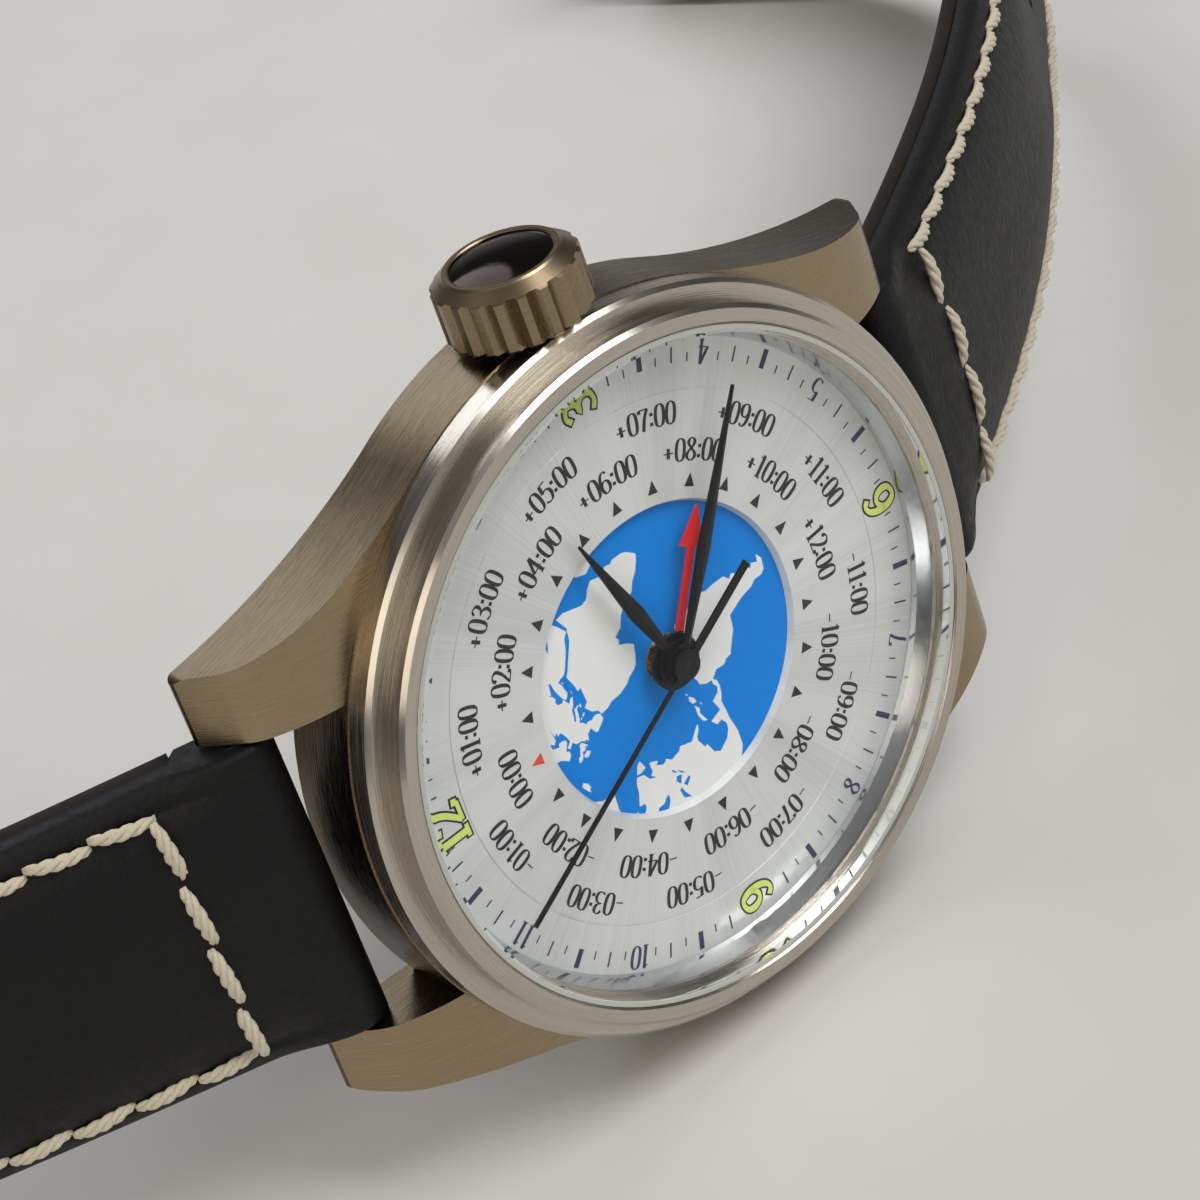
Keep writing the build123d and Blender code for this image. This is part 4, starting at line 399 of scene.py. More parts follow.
def polished_metal(name, colour, roughness, wear):
    """Metal, polished. Faint wiping marks keep its mirror from being perfect."""
    made, tree, place = start_material(name)
    marks = noise(tree, place, 2.2, 5.0, 0.65)
    close_material(
        tree, Base_Color=blend(tree, marks, linear(colour), shaded(colour, 0.9)), Metallic=1.0,
        Roughness=spread(tree, marks, roughness, roughness + wear, 0.3, 0.7),
        Normal=relief(tree, marks, 0.08, 0.00002))
    return made


def crown_steel(name, colour, dome):
    """Steel crown, milled and satin brushed round its axis, with a polished dome in its end whose dark colour is a
    painted reflection.
    """
    made, tree, place = start_material(name)
    axis_height = (WATCH.inverted() @ Vector(JOINTS["crown_turn"]["pos_m"])).z
    centred = vectors(tree, "SUBTRACT", place, (0.0, 0.0, axis_height))
    along = component(tree, centred, 0)
    radius = vectors(tree, "LENGTH", vectors(tree, "MULTIPLY", centred, (0.0, 1.0, 1.0)))
    inside = maths(tree, "LESS_THAN", radius, DOME_RADIUS)
    mask = maths(tree, "MULTIPLY", inside, maths(tree, "GREATER_THAN", along, DOME_FROM))
    lift = add(tree, "ShaderNodeCombineXYZ", {
        0: maths(tree, "MULTIPLY", along, 7.0), 1: maths(tree, "MULTIPLY", radius, 9.0),
    }).outputs[0]
    lines = noise(tree, lift, 1.0, 3.0)
    tone = blend(tree, lines, shaded(colour, 0.6), shaded(colour, 1.2))
    close_material(
        # Painted reflection: inside the dome the colour is dark brown, standing in for the dark room that polished
        # steel mirrors.
        tree, Base_Color=blend(tree, mask, tone, linear(dome)), Metallic=1.0,
        Roughness=blend(tree, mask, spread(tree, lines, 0.22, 0.36), grey(0.08)),
        Normal=relief(tree, lines, 0.2, 0.00002))
    return made


def turned_metal(name, colour, pitch, roughness):
    """Brass, rhodium plating or tungsten, satin finished. An even grain softens its shine; pitch is the
    number of grains in a millimetre. Above the map the metal is blackened."""
    made, tree, place = start_material(name)
    grain = noise(tree, place, pitch, 4.0, 0.6)
    tone = blend(tree, grain, linear(colour), shaded(colour, 0.85))
    low = maths(tree, "LESS_THAN", component(tree, place, 2), BLACKENED_ABOVE)
    close_material(
        tree, Base_Color=blend(tree, low, linear("#08080A"), tone), Metallic=low,
        Roughness=spread(tree, grain, roughness - 0.06, roughness + 0.1, 0.3, 0.7),
        Normal=relief(tree, grain, 0.12, 0.00002))
    return made


def sapphire(name):
    """Sapphire crystal, ground and polished with a clear coat against glare. It is nearly unseen
    from the front and shows a bright rim at its edge. Sapphire's index is about 1.77. The far lower one
    here is chosen so that it mirrors as little as in the photo, so it also bends light too little."""
    made, tree, place = start_material(name)
    glass = add(tree, "ShaderNodeBsdfPrincipled", {
        "Base Color": linear("#FDFEFE"), "Roughness": spread(tree, noise(tree, place, 0.8), 0.0, 0.02),
        "IOR": GLASS_INDEX, "Transmission Weight": 1.0,
    })
    clear = add(tree, "ShaderNodeBsdfTransparent", {"Color": linear("#FBFDFD")})
    path = add(tree, "ShaderNodeLightPath")
    mixed = add(tree, "ShaderNodeMixShader", {
        0: path.outputs["Is Shadow Ray"], 1: glass.outputs[0], 2: clear.outputs[0],
    })
    add(tree, "ShaderNodeOutputMaterial", {"Surface": mixed.outputs[0]})
    return made


def dyed_rubber(name, colour="#101010"):
    """Rubber or plastic, moulded. Dull, with a faint mould grain."""
    made, tree, place = start_material(name)
    grain = noise(tree, place, 6.0, 3.0)
    close_material(
        tree, Base_Color=linear(colour), Roughness=spread(tree, grain, 0.55, 0.75),
        Normal=relief(tree, grain, 0.3, 0.00003))
    return made


def sunray_dial(name, colour):
    """Silvered brass, sunray brushed and lacquered. Hair lines from the centre give the dial its fan of light."""
    made, tree, place = start_material(name)
    ray = vectors(tree, "NORMALIZE", vectors(tree, "MULTIPLY", place, (1.0, 1.0, 0.0)))
    fine = noise(tree, ray, 95.0, 2.0, 0.7)
    both = maths(tree, "MULTIPLY_ADD", fine, 0.75, noise(tree, ray, 3.5, 1.0))
    close_material(
        tree, Base_Color=ramp(tree, both, ((0.55, shaded(colour, 0.80)), (1.15, linear(colour)))),
        Metallic=0.55, Roughness=spread(tree, fine, 0.36, 0.50, 0.3, 0.7),
        Normal=relief(tree, fine, 0.20, 0.00002), Anisotropic=0.6, Tangent=round_centre(tree))
    return made


def lacquer(name, colour, roughness, gloss, hub=None):
    """Lacquer over metal, sprayed. Smooth and even, with faint clouds in its tone and gloss. Where a
    colour is given for the hub, the part nearest the dial's centre has that colour."""
    made, tree, place = start_material(name)
    cloud = noise(tree, place, 3.0, 4.0)
    tone = blend(tree, cloud, shaded(colour, 0.92), linear(colour))
    if hub:
        near = maths(tree, "LESS_THAN", flat_radius(tree, place), HAND_HUB)
        tone = blend(tree, near, tone, linear(hub))
    close_material(
        tree, Base_Color=tone, Roughness=spread(tree, cloud, roughness - 0.04, roughness + 0.08),
        Specular_IOR_Level=gloss)
    return made


def ruby(name):
    """Synthetic ruby, ground and polished. Deep pink-red with a bright glint."""
    made, tree, place = start_material(name)
    tone = blend(tree, noise(tree, place, 5.0), linear("#B3123C"), linear("#D42455"))
    close_material(tree, Base_Color=tone, Roughness=0.06, IOR=1.76, Transmission_Weight=0.35)
    return made


def calf_leather(name, colour, sheen, grain=1.0, gloss=0.46):
    """Calf leather, drum dyed with a matte finish. Fine pores and shallow wrinkles break up a soft shine.
    Real pores are about 0.15 mm apart; at grain 1 they are drawn about 0.3 mm apart so that they show,
    and the wrinkles about 0.7 mm."""
    made, tree, place = start_material(name)
    pores = add(tree, "ShaderNodeTexVoronoi", {
        "Vector": place, "Scale": 3.4 * grain, "Randomness": 1.0,
    }, feature="F1")
    across = vectors(tree, "MULTIPLY", place, (1.0, 1.25, 1.25))
    wrinkles = noise(tree, across, 1.5 * grain, 5.0, 0.60)
    height = maths(tree, "MULTIPLY_ADD", pores.outputs["Distance"], 0.35, wrinkles)
    close_material(
        tree, Base_Color=blend(tree, noise(tree, place, 0.14, 3.0), linear(colour), linear(sheen)),
        Roughness=spread(tree, wrinkles, gloss, gloss + 0.16, 0.3, 0.7),
        Normal=relief(tree, height, 0.60, 0.00009), Specular_IOR_Level=0.28)
    return made


def waxed_thread(name, colour):
    """Polyester thread, twisted and waxed. Cream plies with darker valleys and a slight sheen."""
    made, tree, place = start_material(name)
    fuzz = noise(tree, place, 9.0, 4.0, 0.7)
    close_material(
        tree, Base_Color=blend(tree, fuzz, linear("#B5A689"), linear(colour)), Roughness=0.62,
        Normal=relief(tree, fuzz, 0.35, 0.00005), Sheen_Weight=0.25, Subsurface_Weight=0.05)
    return made


def printed_ink(name, colour, roughness=0.42):
    """Pad printed ink, slightly raised. Dense, with slightly uneven gloss."""
    made, tree, place = start_material(name)
    cloud = noise(tree, place, 7.0, 3.0)
    close_material(
        tree, Base_Color=blend(tree, cloud, linear(colour), shaded(colour, 1.12, 0.004)),
        Roughness=spread(tree, cloud, roughness - 0.05, roughness + 0.1))
    return made


# ---------------------------------------------------------------- pieces
def select(*things):
    """Selects only these objects and makes the first one active."""
    bpy.ops.object.select_all(action="DESELECT")
    for thing in things:
        thing.select_set(True)
    bpy.context.view_layer.objects.active = things[0]


def add_object(name, data):
    made = bpy.data.objects.new(name, data)
    bpy.context.scene.collection.objects.link(made)
    return made


def new_piece(name, points, faces):
    """A mesh object at the origin from points in the watch's millimetres."""
    mesh = bpy.data.meshes.new(name)
    mesh.from_pydata([WATCH @ Vector(p) for p in points], [], faces)
    mesh.update()
    return add_object(name, mesh)


def outward(made):
    """Merges doubles and turns every face outwards."""
    work = bmesh.new()
    work.from_mesh(made.data)
    bmesh.ops.remove_doubles(work, verts=work.verts, dist=1e-6)
    bmesh.ops.recalc_face_normals(work, faces=work.faces)
    work.to_mesh(made.data)
    work.free()


def skin(name, rows, capped=True):
    """A closed piece through rows of points; without caps its last row joins the first."""
    size = len(rows[0])
    points = [p for row in rows for p in row]
    count = len(points)
    faces = []
    for i in range(len(rows) - 1 if capped else len(rows)):
        for j in range(size):
            a, b = i * size + j, i * size + (j + 1) % size
            faces.append((a, b, (b + size) % count, (a + size) % count))
    if capped:
        faces += [tuple(range(size)), tuple(range(count - size, count))]
    made = new_piece(name, points, faces)
    outward(made)
    return made


def finish_piece(made, name, body, material, smooth=True):
    """Names a piece, gives it its material and lets it ride on its body."""
    made.name = made.data.name = name
    made.data.materials.clear()
    made.data.materials.append(material)
    if smooth:
        for face in made.data.polygons:
            face.use_smooth = True
    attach(made, body)
    return made


# ---------------------------------------------------------------- strap
def station(strap, at):
    """Place (up, out) and heading of the strap's path, at a length from the spring bar."""
    up, out = BAR_PLACE
    angle = strap.heading
    left = at
    for length, turn in strap.stretches:
        part = min(left, length)
        bend = math.radians(turn * part / length)
        heading = math.radians(angle) + bend / 2
        chord = part * math.sin(bend / 2) / (bend / 2) if bend else part
        up += chord * math.cos(heading)
        out -= chord * math.sin(heading)
        angle += turn * part / length
        left -= part
        if left <= 0:
            break
    return up, out, math.radians(angle)


def strap_length(strap):
    return sum(length for length, turn in strap.stretches)


def eased(first, second, share):
    share = max(0.0, min(1.0, share))
    return first + (second - first) * share * share * (3 - 2 * share)


def strap_sizes(strap, at):
    """Half width, depth below and above the path, slope width and edge height at one place."""
    thin = (at - PAD_END) / (THIN_END - PAD_END)
    width = STRAP_WIDTH - STRAP_TAPER * min(1.0, at / THIN_END)
    into_tip = at - strap_length(strap) + TIP
    if strap.rounded and into_tip > 0:
        share = min(1.0, into_tip / TIP)
        width *= TIP_WIDTH + (1 - TIP_WIDTH) * math.sqrt(max(0.0, 1 - share ** 2))
    full = LOOP_RADIUS + (ABOVE[0] - LOOP_RADIUS) * min(1.0, at / LOOP_END)
    edge = eased(*EDGE, thin) if at > LOOP_FADE else eased(EDGE_AT_BAR, EDGE[0], at / LOOP_FADE)
    return width / 2, eased(*BELOW, thin), eased(full, ABOVE[1], thin), eased(*SLOPE, thin), edge


def on_strap(strap, across, at, high, beyond=0.0):
    """A point in the watch's millimetres from its place on the strap. It may lie some way beyond that
    place, straight along the strap's heading there."""
    up, out, angle = station(strap, at)
    up += high * math.sin(angle) + beyond * math.cos(angle)
    out += high * math.cos(angle) - beyond * math.sin(angle)
    return Vector((across, strap.side * up, out))


def places_along(strap, first, last, step):
    """Lengths along the strap that get a row of points, which are closer round a rounded tip."""
    count = int((last - first) / step)
    places = [first + (last - first) * i / count for i in range(count + 1)]
    if strap.rounded:
        total = strap_length(strap)
        places = [p for p in places if p < total - TIP] + [
            total - TIP * (1 - math.sin(i * math.pi / 2 / TIP_ROWS)) for i in range(TIP_ROWS + 1)
        ]
    return places


def upper_profile(sizes, full_depth):
    """Outline of the padded upper across the strap, from one lower corner over the top to the other."""
    half, inner, outer, slope, edge = sizes
    low = -inner if full_depth else -inner + LINING + LINING_GAP
    rise = outer - edge
    points = [
        (half - 0.25, low), (half - 0.03, low + 0.18), (half, (low + edge) / 2),
        (half - 0.02, edge - 0.35), (half - 0.16, edge - 0.08),
    ]
    points += [(half - inset, edge + share * rise) for inset, share in SEAM]
    reach = max(half - SEAM[-1][0], 1.0)
    for share in (0.86, 0.72, 0.56, 0.40, 0.20):
        across = reach * share
        climb = min(1.0, (half - across) / (slope * 2.1))
        points.append((across, edge + rise * math.sin(climb * math.pi / 2) ** 0.9))
    return points + [(0.0, outer)] + [(-a, n) for a, n in reversed(points)]


def strap_upper(strap):
    """The padded upper, with rows that close it round the spring bar."""
    last = strap_length(strap) - (0 if strap.rounded else BUCKLE_LOOP * 0.6)
    rows = []
    for i in range(BAR_ROWS):
        before = -LOOP_RADIUS * math.cos(i * math.pi / 2 / BAR_ROWS)
        share = (math.sqrt(max(0.0, LOOP_RADIUS ** 2 - before ** 2)) + 0.02) / LOOP_RADIUS
        outline = upper_profile(strap_sizes(strap, 0.0), True)
        rows.append([on_strap(strap, a, 0.0, n * share, before) for a, n in outline])
    for at in places_along(strap, 0.0, last, UPPER_STEP):
        outline = upper_profile(strap_sizes(strap, at), at < LOOP_END)
        rows.append([on_strap(strap, a, at, n) for a, n in outline])
    return skin(strap.body + "_leather", rows)


def lining(strap):
    """The thin layer under the upper, from behind the spring bar on."""
    last = strap_length(strap) - (0 if strap.rounded else SLOT_LENGTH + 0.3)
    rows = []
    for at in places_along(strap, LOOP_END + LINING_GAP, last, LINING_STEP):
        half, inner = strap_sizes(strap, at)[:2]
        low = -inner
        outline = [
            (half, low + LINING), (half, low + 0.25), (half - 0.10, low + 0.07), (half - 0.30, low),
            (half * 0.5, low), (0.0, low),
        ]
        outline += [(-a, n) for a, n in reversed(outline[:-1])]
        rows.append([on_strap(strap, a, at, n) for a, n in outline])
    return skin(strap.body + "_inside", rows)


def cut_holes(made, strap):
    """Punches the round holes through a strap piece with one joined cutter."""
    cutters = []
    for index in range(HOLE_COUNT):
        at = strap_length(strap) - HOLE_FIRST - index * HOLE_PITCH
        middle, top = (on_strap(strap, 0.0, at, high) for high in (0.0, 1.0))
        turn = (WATCH.to_3x3() @ (top - middle)).to_track_quat("Z", "Y").to_euler()
        bpy.ops.mesh.primitive_cylinder_add(
            vertices=28, radius=HOLE_RADIUS * MM, depth=8 * MM, location=WATCH @ middle, rotation=turn)
        cutters.append(bpy.context.active_object)
    select(*cutters)
    bpy.ops.object.join()
    trim = made.modifiers.new("Holes", "BOOLEAN")
    trim.operation, trim.solver, trim.object = "DIFFERENCE", "EXACT", cutters[0]
    select(made)
    bpy.ops.object.modifier_apply(modifier="Holes")
    bpy.data.objects.remove(cutters[0])


def keeper_loop(name):
    """A leather loop round both layers of the strap, with pressed lines along its edges."""
    at = KEEPER_PLACES[name]
    half = strap_sizes(STRAP_12, KEEPER_FIT)[0] + KEEPER_ROOM
    low = -BELOW[1] - KEEPER_ROOM
    high = low + (BELOW[1] + ABOVE[1]) * 2 + KEEPER_ROOM * 2
    wall, end, corner = 1.0, 2.3, 0.8
    outline = []
    for sx, sn, start in ((1, 1, 0), (-1, 1, 90), (-1, -1, 180), (1, -1, 270)):
        cx = sx * (half + wall - corner)
        cn = (high + wall - corner) if sn > 0 else (low - wall + corner)
        for i in range(6):
            angle = math.radians(start + 90 * i / 5)
            cos, sin = math.cos(angle), math.sin(angle)
            outline.append((cx + corner * cos, cn + corner * sin, cos, sin))
    profile = [(-end + inset, sink) for inset, sink in KEEPER_PROFILE] + [(0.0, 0.0)]
    profile += [(-a, d) for a, d in reversed(profile[:-1])]
    rows = [
        [on_strap(STRAP_12, x - cx * sink, at, n - cn * sink, along) for x, n, cx, cn in outline]
        for along, sink in profile
    ]
    for along in (end, -end):
        rows.append([
            on_strap(STRAP_12, max(-half, min(half, x)), at, max(low, min(high, n)), along)
            for x, n, cx, cn in outline
        ])
    return skin(name + "_leather", rows, capped=False)


# ---------------------------------------------------------------- stitches
def stitch_shape():
    """One stitch: three twisted plies that rise out of one hole and dive into the next.
    Returns points along, across and above, with their faces."""
    points, faces = [], []
    rings, around, plies = 12, 6, 3
    for ply in range(plies):
        start = len(points)
        for i in range(rings):
            share = i / (rings - 1)
            swell = 0.45 + 0.55 * math.sin(math.pi * share) ** 0.5
            twist = math.pi * 2 * (STITCH_TURNS * share + ply / plies)
            lift = -0.22 + 0.46 * math.sin(math.pi * share) ** 0.6
            thick = STITCH_THICK * swell
            across = math.cos(twist) * thick * 0.50
            above = lift + math.sin(twist) * thick * 0.36
            for j in range(around):
                angle = math.pi * 2 * j / around
                points.append(((share - 0.5) * STITCH_LENGTH, across + math.cos(angle) * thick * 0.52,
                               above + math.sin(angle) * thick * 0.48))
        for i in range(rings - 1):
            for j in range(around):
                a, b = start + i * around + j, start + i * around + (j + 1) % around
                faces.append((a, b, b + around, a + around))
        faces.append(tuple(start + j for j in range(around)))
        faces.append(tuple(start + (rings - 1) * around + j for j in range(around)))
    return points, faces


def surface_height(strap, at, across):
    """Height of the upper's top above the path."""
    sizes = strap_sizes(strap, at)
    edge = sizes[-1]
    right = sorted((a, n) for a, n in upper_profile(sizes, False) if a >= 0 and n >= edge - 0.2)
    for (a0, n0), (a1, n1) in zip(right, right[1:]):
        if a0 <= abs(across) <= a1:
            return n0 + (n1 - n0) * (abs(across) - a0) / max(1e-6, a1 - a0)
    return right[-1][1]


def stitching(strap, pitch):
    """All the stitches of one strap half, along both edges and across near the lugs."""
    shape, shape_faces = stitch_shape()
    points, faces = [], []

    def place_stitch(at, across, along_edge, slant, length):
        first = len(points)
        ground = max(surface_height(strap, at, across + shift) for shift in (-0.3, 0.0, 0.3))
        for a, c, n in shape:
            a *= length / STITCH_LENGTH
            turned_a = a * math.cos(slant) - c * math.sin(slant)
            turned_c = a * math.sin(slant) + c * math.cos(slant)
            step, shift = (turned_a, turned_c) if along_edge else (turned_c, turned_a)
            points.append(on_strap(strap, across + shift, at + step, ground + n + STITCH_LIFT))
        faces.extend(tuple(first + i for i in face) for face in shape_faces)

    for sign in (-1, 1):
        for i in range(int((strap.stitched_to - STITCH_FIRST) / pitch)):
            at = STITCH_FIRST + pitch * (i + 0.5)
            inset = strap_sizes(strap, at)[0] - STITCH_INSET
            place_stitch(at, sign * inset, True, sign * strap.side * STITCH_SLANT, pitch * STITCH_REACH)
    half = strap_sizes(strap, STITCH_FIRST)[0] - STITCH_INSET
    length = half * 2 / STITCHES_ACROSS
    for i in range(STITCHES_ACROSS):
        place_stitch(STITCH_FIRST, -half + length * (i + 0.5), False, STITCH_SLANT, length)
    made = new_piece(strap.body + "_stitches", points, faces)
    outward(made)
    return made


# ---------------------------------------------------------------- crystal
def dome_height(radius, reach, rise):
    """Height of a shallow round dome above its rim, at a distance from its middle."""
    ball = (reach ** 2 + rise ** 2) / (2 * rise)
    return rise - ball + math.sqrt(ball ** 2 - radius ** 2)


def spun_crystal():
    """The domed crystal as one smooth turned shape: its half outline is spun round the dial's axis."""
    def arc(reach, base, rise):
        radii = [reach * i / GLASS_RINGS for i in range(GLASS_RINGS + 1)]
        return [(radius, base + dome_height(radius, reach, rise)) for radius in radii]

    bevel = GLASS_RADIUS - GLASS_RIM
    outline = arc(GLASS_RIM, GLASS_TOP, GLASS_RISE)
    outline += [(GLASS_RADIUS, GLASS_TOP - bevel), (GLASS_RADIUS, GLASS_SEAT)]
    outline += arc(GLASS_HOLLOW, GLASS_SEAT, GLASS_HOLLOW_RISE)[::-1]
    mesh = bpy.data.meshes.new("crystal_domed")
    mesh.from_pydata([(r, 0, z) for r, z in outline], [(i, i + 1) for i in range(len(outline) - 1)], [])
    made = add_object("crystal_domed", mesh)
    select(made)
    bpy.ops.object.mode_set(mode="EDIT")
    bpy.ops.mesh.select_all(action="SELECT")
    bpy.ops.mesh.spin(steps=GLASS_STEPS, angle=math.tau, center=(0, 0, 0), axis=(0, 0, 1))
    bpy.ops.mesh.select_all(action="SELECT")
    bpy.ops.mesh.remove_doubles(threshold=1e-4)
    bpy.ops.mesh.normals_make_consistent(inside=False)
    bpy.ops.object.mode_set(mode="OBJECT")
    bpy.ops.object.shade_smooth_by_angle(angle=math.radians(30))
    made.data.transform(WATCH)
    return made


# ---------------------------------------------------------------- dial print
def pairs(flat):
    return [Vector((flat[i], flat[i + 1])) for i in range(0, len(flat), 2)]


def is_closed(line):
    return (line[0] - line[-1]).length < 1e-6


def rounded_line(points):
    """A smooth line through the points; one of two points stays straight."""
    if len(points) < 3:
        return points
    ends = [points[0] * 2 - points[1]] + points + [points[-1] * 2 - points[-2]]
    if is_closed(points):
        ends[0], ends[-1] = points[-2], points[1]
    line = []
    for before, start, end, after in zip(ends, ends[1:], ends[2:], ends[3:]):
        for i in range(CURVE_STEPS):
            t = i / CURVE_STEPS
            line.append(0.5 * (
                start * 2 + (end - before) * t + (before * 2 - start * 5 + end * 4 - after) * t ** 2
                + (start * 3 - before - end * 3 + after) * t ** 3))
    return line + [points[-1]]


def pen_stroke(line, thick, thin, longer=0.0):
    """Corners left and right of a pen line that is thick going up and down and thin going across."""
    corners = []
    for i, here in enumerate(line):
        before, after = line[max(0, i - 1)], line[min(len(line) - 1, i + 1)]
        if i in (0, len(line) - 1) and is_closed(line):
            before, after = line[-2], line[1]
        heading = (after - before).normalized()
        if i == 0:
            here = here - heading * longer
        if i == len(line) - 1:
            here = here + heading * longer
        half = (thin + (thick - thin) * heading.y ** 2) / 2
        beside = Vector((-heading.y, heading.x)) * half
        corners.append((here + beside, here - beside))
    return corners


def slab(points, faces, corners, top, spot):
    """A flat strip of ink with its sides and ends, through corners that spot puts on the dial."""
    first = len(points)
    for left, right in corners:
        for corner, high in ((left, top), (right, top), (right, 0.0), (left, 0.0)):
            points.append((*spot(corner), high))
    for i in range(len(corners) - 1):
        a, b = first + i * 4, first + i * 4 + 4
        faces += [(a + j, a + (j + 1) % 4, b + (j + 1) % 4, b + j) for j in range(4)]
    last = first + (len(corners) - 1) * 4
    faces += [(first, first + 3, first + 2, first + 1), (last, last + 1, last + 2, last + 3)]


def write_round(points, faces, words, radius, angle, pen, inward=False, upright=False, top=INK_HEIGHT, grow=0.0):
    """Writes a line of signs round the dial; angle is clockwise from 12, in degrees. The pen gives the
    signs' height, their width's share of it and the thick and thin lines. Grow makes an outline."""
    height, wide, thick, thin = pen
    unit = height / 100
    size = unit * wide
    along = -sum(SIGNS[sign][0] for sign in words) * size / 2
    for sign in words:
        width, strokes = SIGNS[sign]
        middle = along + width * size / 2
        turn = math.radians(angle) + (0 if upright else (-middle if inward else middle) / radius)
        spin = 0 if upright else (turn + math.pi if inward else turn)
        heart = Vector((math.sin(turn), math.cos(turn))) * radius
        if upright:
            heart = heart + Vector((middle, 0))
        across = Vector((math.cos(spin), -math.sin(spin)))
        upwards = Vector((math.sin(spin), math.cos(spin)))
        for stroke in strokes:
            line = [Vector(((q.x - width / 2) * size, (q.y - 50) * unit)) for q in pairs(stroke)]
            corners = pen_stroke(rounded_line(line), thick + grow * 2, thin + grow * 2, grow)
            slab(points, faces, corners, top, lambda c: heart + across * c.x + upwards * c.y)
        along += width * size


def raised_mark(sides, width, foot, reach):
    """A tick or triangle made from a flat primitive: sized, pulled up by the ink's thickness and closed."""
    if sides == 4:
        bpy.ops.mesh.primitive_plane_add(size=1.0, location=(0, 0, 0))
    else:
        bpy.ops.mesh.primitive_circle_add(vertices=3, radius=1.0, fill_type="NGON", location=(0, 0, 0))
    mark = bpy.context.active_object
    low = min(v.co.y for v in mark.data.vertices)
    span = max(v.co.y for v in mark.data.vertices) - low
    wide = max(v.co.x for v in mark.data.vertices) * 2
    bpy.ops.object.mode_set(mode="EDIT")
    bpy.ops.mesh.select_all(action="SELECT")
    bpy.ops.mesh.extrude_region_move(TRANSFORM_OT_translate={"value": (0, 0, INK_HEIGHT)})
    bpy.ops.object.mode_set(mode="OBJECT")
    fit = Matrix.Translation((0, foot, 0)) @ Matrix.Diagonal((width / wide, (reach - foot) / span, 1, 1))
    mark.data.transform(fit @ Matrix.Translation((0, -low, 0)))
    return mark


def copies_round(master, places):
    """Copies a small mark, each with its own mesh, turned to its angle round the dial, and joins them."""
    marks = []
    for angle in places:
        mark = add_object(master.name, master.data.copy())
        mark.data.transform(Matrix.Rotation(-math.radians(angle), 4, "Z"))
        marks.append(mark)
    bpy.data.objects.remove(master)
    select(*marks)
    if len(marks) > 1:
        bpy.ops.object.join()
    marks[0].data.transform(WATCH)
    outward(marks[0])
    return marks[0]


def land_outline(flat):
    """Map places of a coast, with steps between its points so that the rim cuts it round."""
    coast = pairs(flat)
    places = []
    for start, end in zip(coast, coast[1:] + coast[:1]):
        for i in range(COAST_STEPS):
            a, b = (start + (end - start) * i / COAST_STEPS) / 60
            terms = (1, a, b, a * a, a * b, b * b, a ** 3, a * a * b, a * b * b, b ** 3)
            spot = Vector([sum(c * t for c, t in zip(row, terms)) for row in MAP_LAYOUT])
            places.append(spot * min(1.0, MAP_RADIUS / spot.length))
    return places


# ---------------------------------------------------------------- operators
def settings():
    return bpy.context.scene.watch_sizes


def repaint(material, *nodes):
    """Gives CAD nodes their material."""
    for node in nodes:
        thing = frame["nodes"][node]
        for index in range(len(thing.material_slots)):
            thing.material_slots[index].material = material
        if not thing.material_slots:
            thing.data.materials.append(material)


def colour_setting(name, description, code):
    """A colour that the user can change, given as sRGB hex."""
    return bpy.props.FloatVectorProperty(
        name=name, description=description, default=linear(code)[:3], min=0.0, max=1.0, subtype="COLOR")


class WatchSizes(bpy.types.PropertyGroup):
    steel_colour: colour_setting("Case steel", "Colour of the brushed case and lugs", "#8F7F66")
    bezel_colour: colour_setting("Bezel steel", "Colour of the brushed bezel", "#BFB8AC")
    dial_colour: colour_setting("Dial", "Colour of the silvered dial", "#E4E5E4")
    sea_colour: colour_setting("Sea", "Colour of the map's sea", "#007FDC")
    land_colour: colour_setting("Land", "Colour of the map's land", "#DEDEDC")
    glow_colour: colour_setting("Luminous paint", "Colour of the luminous numbers", "#D3DF74")
    leather_colour: colour_setting("Leather", "Colour of the strap", "#080809")
    thread_colour: colour_setting("Thread", "Colour of the stitches", "#FBF2DA")
    stitch_pitch: bpy.props.FloatProperty(
        name="Stitch pitch", description="Distance between stitches", default=3.7 * MM,
        unit="LENGTH", subtype="DISTANCE")


